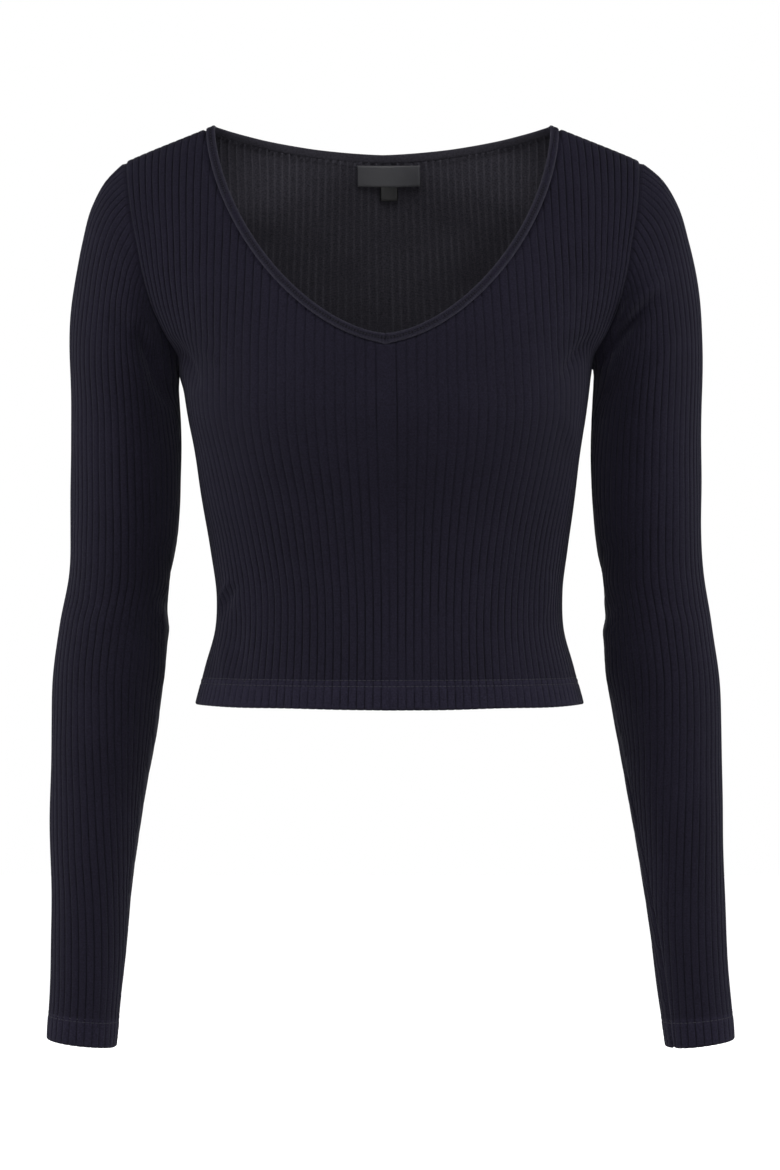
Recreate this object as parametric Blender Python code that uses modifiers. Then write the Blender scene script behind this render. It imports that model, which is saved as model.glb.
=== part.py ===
"""Cropped top in fine rib knit with long sleeves, filled out as it is worn and open at every end.

The pieces are the ones a maker cuts: front, back, two sleeves, a neck binding, a woven label and a tab.
Each is a thin wall. Front and back are lofts through the rows of short tables, from the hem up to the
shoulder seams; the sleeves are lofts through stations, from the armhole down to the cuff.
Metres, +Z up. The front faces -Y. The origin lies midway between the shoulder seams.
"""

import bpy
import numpy as np

# ---- Driving sizes, in metres -------------------------------------------------------------------
NECK_POINT_Z = 0.013         # the neck end of a shoulder seam, above the origin
SWAY = 0.005                 # how far the waist hangs to one side of the shoulders
SWAY_END = 0.330             # the drop below which the sway is complete

WALL = 0.0015                # one layer of rib knit
HEM_WALL = 0.0028            # the turned-up hem and cuffs
BINDING_WALL = 0.0024        # the folded neck binding
BINDING_PROUD = 0.0003       # how far the binding stands out from the panels
LABEL_WALL = 0.0010
SEAM_GAP = 0.0004            # the gap between two pieces at a seam
BENT_SEAM_GAP = 0.0008       # the same where walls meet at a bend, so that their inner sides are clear
ARMPIT_GAP = 0.0019          # between the body and the sleeve where they face each other at the armpit

HEM_DEPTH = 0.0185           # how far the body hem is turned up
CUFF_DEPTH = 0.0180          # and the cuffs
FOLD_STEP = 0.0015           # the height over which the wall thickens to the hem

NECK_HALF_WIDTH = 0.1174     # neck opening at the shoulder seams
NECK_FRONT_DROP = 0.1530     # to the point of the V
NECK_BACK_DROP = 0.0146
NECK_FRONT_POWER = 1.68      # superellipse exponent of the V neck: 1 is straight sides, 2 is an ellipse
NECK_BACK_POWER = 1.8
BINDING_WIDTH = 0.0064

LABEL_SIZE = (0.045, 0.0145)
TAB_SIZE = (0.0130, 0.0106)
LABEL_SHIFT = 0.0040         # the label is sewn a little to one side
LABEL_TOP_DROP = 0.0218      # its top edge, below the neck points
LABEL_GAP = 0.0007           # between the label and the panel behind it

# ---- The body, row by row from the hem up to the shoulder seams ----------------------------------
# Drops are measured down from the neck points. The edge rows place the side seam and, above the
# underarm, the two armhole seams; front and back share them.
ROW_NAMES = (
    "hem", "flare", "low_waist", "waist", "rib_cage", "under_bust", "low_bust", "bust", "underarm",
    "armpit", "deep_armhole", "low_armhole", "mid_armhole", "high_armhole", "chest_top", "yoke",
    "shoulder_fall", "shoulder_round", "shoulder_seam",
)
EDGE_ROWS = (
    # drop, half_width, front_y, back_y
    (0.4055, 0.1358, 0.000, 0.000),
    (0.3800, 0.1287, 0.000, 0.000),
    (0.3540, 0.1219, 0.000, 0.000),
    (0.3300, 0.1210, 0.000, 0.000),
    (0.2980, 0.1246, 0.000, 0.000),
    (0.2630, 0.1302, 0.000, 0.000),
    (0.2350, 0.1337, 0.000, 0.000),
    (0.2050, 0.1393, 0.000, 0.000),
    (0.1720, 0.1437, -0.003, -0.003),
    (0.1640, 0.1447, -0.022, 0.018),
    (0.1465, 0.1548, -0.037, 0.035),
    (0.1327, 0.1612, -0.042, 0.041),
    (0.1113, 0.1674, -0.0445, 0.044),
    (0.0856, 0.1724, -0.0415, 0.0415),
    (0.0638, 0.1766, -0.0325, 0.035),
    (0.0450, 0.1791, -0.020, 0.027),
    (0.0320, 0.1803, -0.008, 0.019),
    (0.0264, 0.1808, 0.001, 0.0110),
    (0.0260, 0.1810, 0.006, 0.006),
)
# turn is the share of a quarter round that a row has turned through at its edge, full is the exponent
# of its superellipse, and crowd pushes the ribs towards the edge where it is under 1.
FRONT_ROWS = (
    # drop, depth, turn, full, crowd
    (0.4072, -0.0985, 1.000, 2.25, 1.00),
    (0.3800, -0.0950, 1.000, 2.22, 1.00),
    (0.3540, -0.0905, 1.000, 2.18, 1.00),
    (0.3300, -0.0885, 1.000, 2.18, 1.00),
    (0.2980, -0.0925, 1.000, 2.22, 1.00),
    (0.2630, -0.1010, 1.000, 2.32, 1.00),
    (0.2350, -0.1120, 1.000, 2.45, 1.00),
    (0.2050, -0.1200, 1.000, 2.55, 1.00),
    (0.1720, -0.1185, 1.000, 2.45, 1.00),
    (0.1640, -0.1165, 0.985, 2.42, 0.99),
    (0.1460, -0.1105, 0.930, 2.38, 0.98),
    (0.1290, -0.1046, 0.860, 2.35, 0.96),
    (0.0980, -0.0876, 0.780, 2.30, 0.94),
    (0.0580, -0.0620, 0.700, 2.30, 0.91),
    (0.0215, -0.0420, 0.600, 2.30, 0.88),
    (-0.0093, -0.0210, 0.500, 2.30, 0.85),
    (-0.0316, -0.0112, 0.400, 2.30, 0.82),
    (-0.0480, -0.0010, 0.300, 2.30, 0.81),
    (-0.0487, 0.0060, 0.300, 2.30, 0.80),
)
BACK_ROWS = (
    # drop, depth, turn, full, crowd
    (0.4055, 0.0950, 1.000, 2.30, 1.00),
    (0.3800, 0.0905, 1.000, 2.25, 1.00),
    (0.3540, 0.0845, 1.000, 2.20, 1.00),
    (0.3300, 0.0810, 1.000, 2.20, 1.00),
    (0.2980, 0.0825, 1.000, 2.25, 1.00),
    (0.2630, 0.0880, 1.000, 2.30, 1.00),
    (0.2350, 0.0925, 1.000, 2.35, 1.00),
    (0.2050, 0.0965, 1.000, 2.40, 1.00),
    (0.1700, 0.0990, 1.000, 2.40, 1.00),
    (0.1530, 0.0988, 0.985, 2.40, 0.99),
    (0.1250, 0.0965, 0.930, 2.38, 0.98),
    (0.0920, 0.0905, 0.860, 2.35, 0.96),
    (0.0550, 0.0800, 0.780, 2.30, 0.94),
    (0.0180, 0.0635, 0.700, 2.30, 0.91),
    (-0.0060, 0.0584, 0.600, 2.30, 0.88),
    (-0.0265, 0.0495, 0.500, 2.30, 0.85),
    (-0.0430, 0.0320, 0.400, 2.30, 0.82),
    (-0.0482, 0.0170, 0.300, 2.30, 0.81),
    (-0.0487, 0.0060, 0.300, 2.30, 0.80),
)

# ---- The sleeves, station by station from the armhole down to the cuff ---------------------------
# Outer and inner are the two edges of the sleeve's outline from the front, depth is half its thickness
# from front to back, hug is how much of the armhole's own shape it still follows, and sway is how far
# both sleeves hang to one side of the shoulders.
SLEEVE_STATIONS = (
    # outer_x, outer_drop, inner_x, inner_drop, middle_y, depth, hug, sway
    (0.1810, 0.0260, 0.1440, 0.1725, 0.000, 0.0440, 1.00, 0.0026),   # armhole
    (0.1952, 0.0390, 0.1447, 0.1775, 0.000, 0.0455, 0.80, 0.0026),
    (0.2049, 0.0560, 0.1447, 0.1840, 0.001, 0.0465, 0.50, 0.0026),
    (0.2122, 0.0820, 0.1444, 0.1940, 0.002, 0.0470, 0.20, 0.0026),
    (0.2189, 0.1180, 0.1440, 0.2080, 0.004, 0.0465, 0.00, 0.0026),   # top of the arm
    (0.2220, 0.1550, 0.1436, 0.2260, 0.005, 0.0460, 0.00, 0.0026),
    (0.2210, 0.1980, 0.1438, 0.2450, 0.006, 0.0450, 0.00, 0.0026),
    (0.2214, 0.2450, 0.1450, 0.2720, 0.007, 0.0440, 0.00, 0.0026),
    (0.2215, 0.2850, 0.1482, 0.2980, 0.008, 0.0430, 0.00, 0.0026),
    (0.2228, 0.3170, 0.1523, 0.3200, 0.008, 0.0420, 0.00, 0.0026),   # elbow
    (0.2283, 0.3500, 0.1525, 0.3450, 0.006, 0.0420, 0.00, 0.0024),
    (0.2331, 0.3830, 0.1537, 0.3760, 0.003, 0.0410, 0.00, 0.0024),
    (0.2343, 0.4200, 0.1587, 0.4130, 0.000, 0.0390, 0.00, 0.0026),   # forearm
    (0.2348, 0.4650, 0.1670, 0.4600, -0.005, 0.0355, 0.00, 0.0030),
    (0.2348, 0.5100, 0.1744, 0.5070, -0.010, 0.0320, 0.00, 0.0033),
    (0.2346, 0.5550, 0.1807, 0.5550, -0.015, 0.0290, 0.00, 0.0042),
    (0.2364, 0.6000, 0.1860, 0.6030, -0.019, 0.0270, 0.00, 0.0051),
    (0.2386, 0.6374, 0.1908, 0.6430, -0.022, 0.0265, 0.00, 0.0056),   # cuff edge
)

# ---- How finely the solids are faceted -----------------------------------------------------------
NECK_STEPS = 12              # panel columns from the centre line to the neck end of the shoulder seam
NECK_CROWD = 1.15            # above 1 those columns end closer together towards the shoulder
NECK_FOOT = 0.88             # the u at the hem of the column that ends at the neck end
HALVINGS = 26                # of a bracket, when a place on the body is looked for
SHOULDER_STEPS = 4           # columns from there to the armhole
# rows of the armhole, as shares of its length from the shoulder down
ARMHOLE_SHARES = (0, 0.035, 0.12, 0.24, 0.37, 0.51, 0.65, 0.78, 0.90, 1)
# rows of the tables that get a ring of their own below the armhole
BODY_ROWS = ("low_waist", "waist", "rib_cage", "under_bust", "bust")
SECTION_SAMPLES = 49         # samples that measure a row's length
SIDE_SPAN = 0.20             # length of a row from the centre line to its edge, near enough for gaps

COLLECTION = "cropped_rib_top"
NAVY = (0.0118, 0.0112, 0.0185)
NAVY_SOFT = (0.0150, 0.0144, 0.0226)
SATIN_BLACK = (0.0060, 0.0060, 0.0065)


# ---- Curves and surfaces ---------------------------------------------------------------------------
def curve_through(knots, values, at):
    """Smooth values at the places asked for: cubic Hermite spans with parabola slopes at the knots."""
    knots = np.asarray(knots, float)
    values = np.asarray(values, float)
    step = np.diff(knots)
    secant = np.diff(values, axis=0) / step[:, None]
    slope = np.empty_like(values)
    before, after = step[:-1, None], step[1:, None]
    slope[1:-1] = (secant[:-1] * after + secant[1:] * before) / (before + after)
    slope[0], slope[-1] = secant[0], secant[-1]
    at = np.asarray(at, float)
    span = np.clip(np.searchsorted(knots, at, side="right") - 1, 0, len(step) - 1)
    width = step[span][..., None]
    t = ((at - knots[span]) / step[span])[..., None]
    return (
        (2 * t**3 - 3 * t**2 + 1) * values[span]
        + (t**3 - 2 * t**2 + t) * width * slope[span]
        + (3 * t**2 - 2 * t**3) * values[span + 1]
        + (t**3 - t**2) * width * slope[span + 1]
    )


def row_heights():
    """Each row's place from 0 at the hem to 1 at the shoulder seam, by length along the front edge, and
    that length."""
    path = np.array(EDGE_ROWS)[:, :3]
    length = np.concatenate(([0], np.cumsum(np.linalg.norm(np.diff(path, axis=0), axis=1))))
    return length / length[-1], length[-1]


ROW_V, EDGE_LENGTH = row_heights()
V_OF = dict(zip(ROW_NAMES, ROW_V))


def sway_at(drop):
    """Sideways shift of the whole body at a drop: none at the shoulders, complete at the waist."""
    return SWAY * np.clip(drop / SWAY_END, 0, 1)


def body_point(u, v, back=False):
    """A point of the body's outer face. u runs from 0 on the centre line to +-1 on the side seam and
    armhole, and v from 0 at the hem to 1 at the shoulder seam. A row is a share of a quarter
    superellipse from its middle to its edge, and u divides that row's own length."""
    u, v = np.broadcast_arrays(np.asarray(u, float), np.asarray(v, float))
    edge = curve_through(ROW_V, EDGE_ROWS, v)
    middle = curve_through(ROW_V, BACK_ROWS if back else FRONT_ROWS, v)
    edge_drop, half_width = edge[..., 0], edge[..., 1]
    edge_y = edge[..., 3] if back else edge[..., 2]
    middle_drop, depth, turn, full, crowd = np.moveaxis(middle, -1, 0)
    turn = np.clip(turn, 0.05, 1.0)
    last = np.arcsin(turn ** (full / 2))
    share = np.linspace(0, 1, SECTION_SAMPLES)
    angle = last[..., None] * share
    power = (2 / full)[..., None]
    across = np.sin(angle) ** power / turn[..., None]
    bend = (1 - np.cos(angle) ** power) / (1 - np.cos(last)[..., None] ** power)
    x = half_width[..., None] * across
    y = depth[..., None] + (edge_y - depth)[..., None] * bend
    drop = middle_drop[..., None] + (edge_drop - middle_drop)[..., None] * across
    section = np.stack([x, y, drop], axis=-1)
    length = np.linalg.norm(np.diff(section, axis=-2), axis=-1).cumsum(-1)
    length = np.concatenate([np.zeros(length.shape[:-1] + (1,)), length], axis=-1)
    wanted = np.abs(u) ** crowd * length[..., -1]
    low = np.clip((length <= wanted[..., None]).sum(-1) - 1, 0, SECTION_SAMPLES - 2)[..., None]
    start = np.take_along_axis(length, low, -1)
    stop = np.take_along_axis(length, low + 1, -1)
    t = (wanted[..., None] - start) / (stop - start)
    a = np.take_along_axis(section, low[..., None], -2)[..., 0, :]
    b = np.take_along_axis(section, low[..., None] + 1, -2)[..., 0, :]
    point = a + (b - a) * t
    drop = point[..., 2]
    return np.stack(
        [np.sign(u) * point[..., 0] + sway_at(drop), point[..., 1], NECK_POINT_Z - drop], axis=-1
    )


def shoulder_drop(x):
    """The drop of the shoulder seam's straight line at a distance from the centre."""
    middle, edge = FRONT_ROWS[-1][0], EDGE_ROWS[-1]
    return middle + (edge[0] - middle) * x / edge[1]


def place_on_body(x, drop, back):
    """The u and v of the body's face at a distance from its middle and a drop, by halving brackets: one
    of v for each u, and one of u round it."""
    x, drop = np.broadcast_arrays(np.asarray(x, float), np.asarray(drop, float))
    low_u, high_u = np.zeros(x.shape), np.ones(x.shape)
    for _ in range(HALVINGS):
        u = (low_u + high_u) / 2
        low_v, high_v = np.full(x.shape, V_OF["waist"]), np.ones(x.shape)
        for _ in range(HALVINGS):
            v = (low_v + high_v) / 2
            point = body_point(u, v, back)
            above = NECK_POINT_Z - point[..., 2] < drop
            high_v = np.where(above, v, high_v)
            low_v = np.where(above, low_v, v)
        short = point[..., 0] - sway_at(drop) < x
        low_u = np.where(short, u, low_u)
        high_u = np.where(short, high_u, u)
    return u, v


def shoulder_u(x):
    """The u at which the shoulder seam is at a distance from the middle."""
    u = np.linspace(0, 1, 401)
    return np.interp(x, body_point(u, 1.0)[:, 0], u)


def neck_outline(angle, back, grow):
    """A neckline grown outwards, as seen from the front: the distance from the middle and the drop, from
    the centre line at 0 to the shoulder seam at a quarter turn."""
    half_width = NECK_HALF_WIDTH + grow
    end = shoulder_drop(half_width)
    if back:
        x = half_width * np.sin(angle)
        depth = 1 - (x / half_width) ** NECK_BACK_POWER
        return x, end + (NECK_BACK_DROP + grow - end) * depth
    power = 2 / NECK_FRONT_POWER
    x = half_width * np.sin(angle) ** power
    depth = np.cos(angle).clip(0) ** power
    return x, end + (NECK_FRONT_DROP + grow - end) * depth


def neckline(back, grow):
    """The u and v of the stations of a neckline by its length on the body's face, closer together towards
    the shoulder."""
    angle = np.linspace(0, np.pi / 2, 61)
    point = body_point(*place_on_body(*neck_outline(angle, back, grow), back), back)
    length = np.linalg.norm(np.diff(point, axis=0), axis=1).cumsum()
    length = np.concatenate(([0], length / length[-1]))
    wanted = 1 - np.linspace(1, 0, NECK_STEPS + 1) ** NECK_CROWD
    stations = np.interp(wanted, length, angle)
    u, v = place_on_body(*neck_outline(stations, back, grow), back)
    u[-1], v[-1] = shoulder_u(NECK_HALF_WIDTH + grow), 1.0
    return u, v


def sleeve_point(f, t, side):
    """A point of a sleeve's outer face. f runs round it from 0 on the outside through 0.5 under the arm,
    and t from 0 at the armhole to 1 at the cuff. A ring is an oval between the outer and the inner edge,
    and near the armhole it takes over the armhole's own departure from such an oval."""
    f, t = np.broadcast_arrays(np.asarray(f, float), np.asarray(t, float))
    station = curve_through(SLEEVE_T, SLEEVE_STATIONS, t)
    first = np.array(SLEEVE_STATIONS[0])
    hug = np.clip(station[..., 6:7], 0, 1)
    seam = armhole_point(f)
    seam[..., 0] += ARMPIT_GAP * (1 - np.cos(2 * np.pi * f)) / 2
    point = sleeve_oval(f, station) + hug * (seam - sleeve_oval(f, first))
    sway = station[..., 7] + hug[..., 0] * (sway_at(-point[..., 2]) - station[..., 7])
    shift = np.stack([sway, np.zeros(sway.shape), np.full(sway.shape, NECK_POINT_Z)], axis=-1)
    return point * (side, 1, 1) + shift


def sleeve_oval(f, station):
    """The plain oval of a station, on the side of +X, with z as minus the drop."""
    outer = np.stack([station[..., 0], station[..., 4], -station[..., 1]], axis=-1)
    inner = np.stack([station[..., 2], station[..., 4], -station[..., 3]], axis=-1)
    angle = 2 * np.pi * f
    oval = (outer + inner) / 2 + (outer - inner) / 2 * np.cos(angle)[..., None]
    oval[..., 1] -= station[..., 5] * np.sin(angle)
    return oval


def armhole_turn(v, back):
    """How far round the sleeve a row of the armhole meets it: 0 at the shoulder, 0.5 at the underarm.
    It is the angle of the armhole's point about the middle of the first station's oval."""
    outer_x, outer_drop, inner_x, inner_drop, middle_y, depth = SLEEVE_STATIONS[0][:6]
    axis = np.array([outer_x - inner_x, inner_drop - outer_drop]) / 2
    edge = curve_through(ROW_V, EDGE_ROWS, v)
    x = edge[..., 1] - (outer_x + inner_x) / 2
    rise = (outer_drop + inner_drop) / 2 - edge[..., 0]
    along = (x * axis[0] + rise * axis[1]) / (axis @ axis)
    aside = (edge[..., 3 if back else 2] - middle_y) / depth * (1 if back else -1)
    turn = np.arctan2(aside, along) / (2 * np.pi)
    return np.where(turn < -0.25, turn + 1, turn)


def armhole_table(back):
    """Rows of the share of the way round a sleeve, from 0 at the shoulder to 0.5 under the arm, and
    of the v where the armhole has it."""
    v = np.linspace(1, V_OF["underarm"], 161)
    turn = armhole_turn(v, back)
    turn = np.maximum.accumulate((turn - turn[0]) / (turn[-1] - turn[0]) / 2)
    return turn, v


ARMHOLE_FRONT = armhole_table(False)
ARMHOLE_BACK = armhole_table(True)


def armhole_point(f):
    """A point of the armhole seam on the side of +X, with z as minus the drop."""
    front = f <= 0.5
    v = np.where(front, np.interp(f, *ARMHOLE_FRONT), np.interp(1 - f, *ARMHOLE_BACK))
    edge = curve_through(ROW_V, EDGE_ROWS, v)
    y = np.where(front, edge[..., 2], edge[..., 3])
    return np.stack([edge[..., 1], y, -edge[..., 0]], axis=-1)


def armhole_rows():
    """The v of the rows that the panels and the sleeves share along the armhole, underarm first."""
    v = np.linspace(1, V_OF["underarm"], 161)
    edge = curve_through(ROW_V, EDGE_ROWS, v)
    length = np.linalg.norm(np.diff(edge[:, :3], axis=0), axis=1).cumsum()
    length = np.concatenate(([0], length / length[-1]))
    return np.interp(ARMHOLE_SHARES, length, v)[::-1]


def station_lengths():
    """Each station's place from 0 to 1 by length along the sleeve's middle line."""
    table = np.array(SLEEVE_STATIONS)
    middle = np.stack([table[:, 0] + table[:, 2], 2 * table[:, 4], table[:, 1] + table[:, 3]], 1) / 2
    length = np.concatenate(([0], np.cumsum(np.linalg.norm(np.diff(middle, axis=0), axis=1))))
    return length / length[-1], length[-1]


SLEEVE_T, SLEEVE_LENGTH = station_lengths()


# ---- Objects ------------------------------------------------------------------------------------
def clear_scene():
    """Removes whatever the scene holds, so that the model starts from nothing."""
    for thing in list(bpy.data.objects):
        bpy.data.objects.remove(thing, do_unlink=True)


def cloth_material(name, colour, roughness):
    """A plain cloth finish with the piece's own colour."""
    material = bpy.data.materials.new(name)
    material.use_nodes = True
    shader = material.node_tree.nodes["Principled BSDF"]
    shader.inputs["Base Color"].default_value = (*colour, 1.0)
    shader.inputs["Roughness"].default_value = roughness
    shader.inputs["Metallic"].default_value = 0.0
    return material


def grid_faces(rows, columns, closed, flip):
    """Quads of a grid of points, row after row; closed joins the last column to the first."""
    i = np.arange(rows - 1)[:, None]
    j = np.arange(columns if closed else columns - 1)[None, :]
    k = (j + 1) % columns
    quads = np.stack(
        [i * columns + j, i * columns + k, (i + 1) * columns + k, (i + 1) * columns + j], axis=-1
    ).reshape(-1, 4)
    return quads[:, ::-1] if flip else quads


def cloth_piece(name, grid, material, wall, closed=False, flip=False, thick=None, thick_wall=None):
    """A wall of cloth: the open outer face from a grid of points, and a Solidify that goes inwards.
    thick marks the points of a turned-up edge, where the wall has its own, greater thickness."""
    rows, columns = grid.shape[:2]
    mesh = bpy.data.meshes.new(name)
    faces = grid_faces(rows, columns, closed, flip)
    mesh.from_pydata(grid.reshape(-1, 3).tolist(), [], faces.tolist())
    mesh.validate()
    mesh.materials.append(material)
    mesh.shade_smooth()
    piece = bpy.data.objects.new(name, mesh)
    bpy.data.collections[COLLECTION].objects.link(piece)
    solid = piece.modifiers.new("wall", "SOLIDIFY")
    solid.thickness = wall if thick is None else thick_wall
    solid.offset = -1.0
    solid.use_quality_normals = True
    if thick is not None:
        group = piece.vertex_groups.new(name="turned_up")
        marked = np.flatnonzero(np.repeat(thick, columns))
        group.add(marked.tolist(), 1.0, "REPLACE")
        solid.vertex_group = group.name
        solid.thickness_vertex_group = wall / thick_wall
    return piece


def body_rows():
    """The v of each ring of a panel: the hem and its fold, a few rows of the tables, the armhole."""
    height = NECK_POINT_Z - body_point(1.0, np.linspace(0, V_OF["waist"], 200))[:, 2]
    drop = EDGE_ROWS[0][0] - HEM_DEPTH
    fold = [np.interp(-d, -height, np.linspace(0, V_OF["waist"], 200)) for d in (drop, drop - FOLD_STEP)]
    armhole = armhole_rows()
    middle = [V_OF[name] for name in BODY_ROWS]
    return np.array([0.0, *fold, *middle, *armhole])


def make_panel(name, back, material):
    """Front or back. Its columns run up from the hem, the middle ones to the neckline and the others to
    the shoulder seam, and its rows close up towards the neckline."""
    neck_u, neck_v = neckline(back, BINDING_WIDTH + BENT_SEAM_GAP)
    side = 1 - BENT_SEAM_GAP / 2 / SIDE_SPAN
    shoulder_gap = BENT_SEAM_GAP / 2 / EDGE_LENGTH
    top_u = np.concatenate([neck_u, np.linspace(neck_u[-1], side, SHOULDER_STEPS + 1)[1:]])
    top_v = np.concatenate([neck_v, np.ones(SHOULDER_STEPS)])
    foot_u = np.concatenate(
        [np.linspace(0, NECK_FOOT, NECK_STEPS + 1), np.linspace(NECK_FOOT, side, SHOULDER_STEPS + 1)[1:]]
    )
    v = body_rows()[:, None]
    closing = np.clip((v - V_OF["waist"]) / (1 - V_OF["waist"]), 0, 1)
    grid_v = v - closing * np.maximum(1 - top_v, shoulder_gap)
    lean = np.clip((grid_v - V_OF["under_bust"]) / (top_v - V_OF["under_bust"]), 0, 1)
    half = foot_u + (top_u - foot_u) * lean
    u = np.concatenate([-half[:, :0:-1], half], axis=1)
    grid_v = np.concatenate([grid_v[:, :0:-1], grid_v], axis=1)
    thick = np.arange(len(v)) < 2
    return cloth_piece(
        name, body_point(u, grid_v, back), material, WALL, flip=back, thick=thick, thick_wall=HEM_WALL
    )


def sleeve_rings():
    """The t of each ring: one at each station but the last, then the cuff's fold and its edge."""
    fold = 1 - CUFF_DEPTH / SLEEVE_LENGTH
    start = SEAM_GAP / SLEEVE_LENGTH
    step = FOLD_STEP / SLEEVE_LENGTH
    return np.concatenate([[start], SLEEVE_T[1:-1], [fold - step, fold, 1.0]])


def make_sleeve(name, side, material):
    """A sleeve whose rings share their points with the rows of the armhole."""
    v = armhole_rows()[::-1]
    front = np.interp(v[::-1], ARMHOLE_FRONT[1][::-1], ARMHOLE_FRONT[0][::-1])[::-1]
    back = np.interp(v[::-1], ARMHOLE_BACK[1][::-1], ARMHOLE_BACK[0][::-1])[::-1]
    f = np.concatenate([front, 1 - back[-2:0:-1]])
    t = sleeve_rings()
    grid = sleeve_point(f[None, :], t[:, None], side)
    thick = np.arange(len(t)) >= len(t) - 2
    flip = side > 0
    return cloth_piece(
        name, grid, material, WALL, closed=True, flip=flip, thick=thick, thick_wall=HEM_WALL
    )


def normals_of(grid, closed):
    """Unit normals of a grid of points, from the differences of its neighbours along both ways."""
    along = np.gradient(grid, axis=0)
    if closed:
        across = np.roll(grid, -1, axis=1) - np.roll(grid, 1, axis=1)
    else:
        across = np.gradient(grid, axis=1)
    normal = np.cross(across, along)
    return normal / np.linalg.norm(normal, axis=-1, keepdims=True)


def neck_loop(grow):
    """The neckline grown outwards, once round from the middle of the front."""
    front = body_point(*neckline(False, grow), False)
    back = body_point(*neckline(True, grow), True)[-2::-1]
    half = np.concatenate([front, back])
    drop = NECK_POINT_Z - half[:, 2]
    other = half * (-1, 1, 1) + (2, 0, 0) * sway_at(drop)[:, None]
    return np.concatenate([half, other[-2:0:-1]])


def make_binding(material):
    """The neck binding: a flat band between the opening and the panels, a little proud of both."""
    grows = np.linspace(0, BINDING_WIDTH, 3)
    grid = np.stack([neck_loop(grow) for grow in grows])
    grid += BINDING_PROUD * normals_of(grid, closed=True)
    return cloth_piece("neck_binding", grid, material, BINDING_WALL, closed=True)


def back_patch(width, height, top_drop, columns, rows):
    """A patch of the back panel's outer face, level across, and its normals."""
    x = np.linspace(-width / 2, width / 2, columns)[None, :] + LABEL_SHIFT
    drop = np.linspace(top_drop + height, top_drop, rows)[:, None]
    u, v = place_on_body(np.abs(x), drop, back=True)
    point = body_point(np.where(x < 0, -u, u), v, back=True)
    return point, normals_of(point, closed=False)


def make_label(name, size, top_drop, material):
    """A label or tab: points of the back panel, moved in through its wall, with a wall of their own."""
    point, normal = back_patch(*size, top_drop, columns=5, rows=3)
    outward = np.sign(normal[..., 1:2])
    grid = point - normal * outward * (WALL + LABEL_GAP)
    return cloth_piece(name, grid, material, LABEL_WALL, flip=True)


def main():
    clear_scene()
    collection = bpy.data.collections.new(COLLECTION)
    bpy.context.scene.collection.children.link(collection)
    knit = cloth_material("rib_knit", NAVY, 0.85)
    band = cloth_material("binding_knit", NAVY_SOFT, 0.80)
    satin = cloth_material("label_satin", SATIN_BLACK, 0.45)
    make_panel("front_panel", False, knit)
    make_panel("back_panel", True, knit)
    make_sleeve("sleeve_left", -1, knit)
    make_sleeve("sleeve_right", 1, knit)
    make_binding(band)
    make_label("neck_label", LABEL_SIZE, LABEL_TOP_DROP, satin)
    make_label("size_tab", TAB_SIZE, LABEL_TOP_DROP + LABEL_SIZE[1] + SEAM_GAP, satin)


main()
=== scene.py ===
# %% [markdown]
# # A cropped top in fine rib knit
#
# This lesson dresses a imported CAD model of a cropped, long-sleeved top. The real top is cut from a
# stretchy rib knit: a front, a back and two sleeves, sewn at the shoulders, sides and armholes, with a
# narrow folded band round a soft V neck. Hem and cuffs are turned up and stitched. It is shown filled out
# as it is worn, with nobody in it, so the inside of the back shows through the neck.
#
# The CAD model gives the size, the place and the collision of every piece. Its walls are coarse, so each
# is replaced here by a fine surface worked out from the same tables, with real ribs, seams and creases.

import math

import bpy
import numpy as np
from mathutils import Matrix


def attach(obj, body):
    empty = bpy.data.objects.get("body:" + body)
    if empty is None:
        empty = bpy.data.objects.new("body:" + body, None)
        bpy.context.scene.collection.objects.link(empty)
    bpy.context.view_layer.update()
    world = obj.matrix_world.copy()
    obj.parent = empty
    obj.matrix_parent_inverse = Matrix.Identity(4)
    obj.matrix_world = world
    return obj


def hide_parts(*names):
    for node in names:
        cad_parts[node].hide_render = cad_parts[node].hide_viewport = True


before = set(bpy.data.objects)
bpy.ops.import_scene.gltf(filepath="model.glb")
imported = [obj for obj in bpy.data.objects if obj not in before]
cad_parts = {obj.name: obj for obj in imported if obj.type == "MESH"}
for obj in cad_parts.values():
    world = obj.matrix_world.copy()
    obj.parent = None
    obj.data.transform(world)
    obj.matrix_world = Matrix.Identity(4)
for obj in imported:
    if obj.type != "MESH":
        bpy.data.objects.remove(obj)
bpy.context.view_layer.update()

# %% [markdown]
# ## The sizes of the top
#
# A garment pattern is a handful of lengths. These are the same tables that the CAD model is lofted
# through: rows of the body from the hem up to the shoulder seams, and stations of a sleeve from the
# armhole down to the cuff. Writing them again, rather than measuring the coarse walls, keeps the fine
# surfaces smooth between the rows. Metres, with the front facing -Y.

# %% Driving sizes
NECK_POINT_Z = 0.013         # the neck end of a shoulder seam, above the origin
SWAY = 0.005                 # how far the waist hangs to one side of the shoulders
SWAY_END = 0.330             # the drop below which the sway is complete
HEM_DEPTH = 0.0185           # how far the hem is turned up, and the cuffs
NECK_HALF_WIDTH = 0.1174     # neck opening at the shoulder seams
NECK_FRONT_DROP = 0.1530     # to the point of the V
NECK_BACK_DROP = 0.0146
NECK_FRONT_POWER = 1.68      # superellipse exponent of the V: 1 is straight sides, 2 is an ellipse
NECK_BACK_POWER = 1.8
BINDING_WIDTH = 0.0064
ARMPIT_GAP = 0.0019          # between body and sleeve where they face each other

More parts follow.
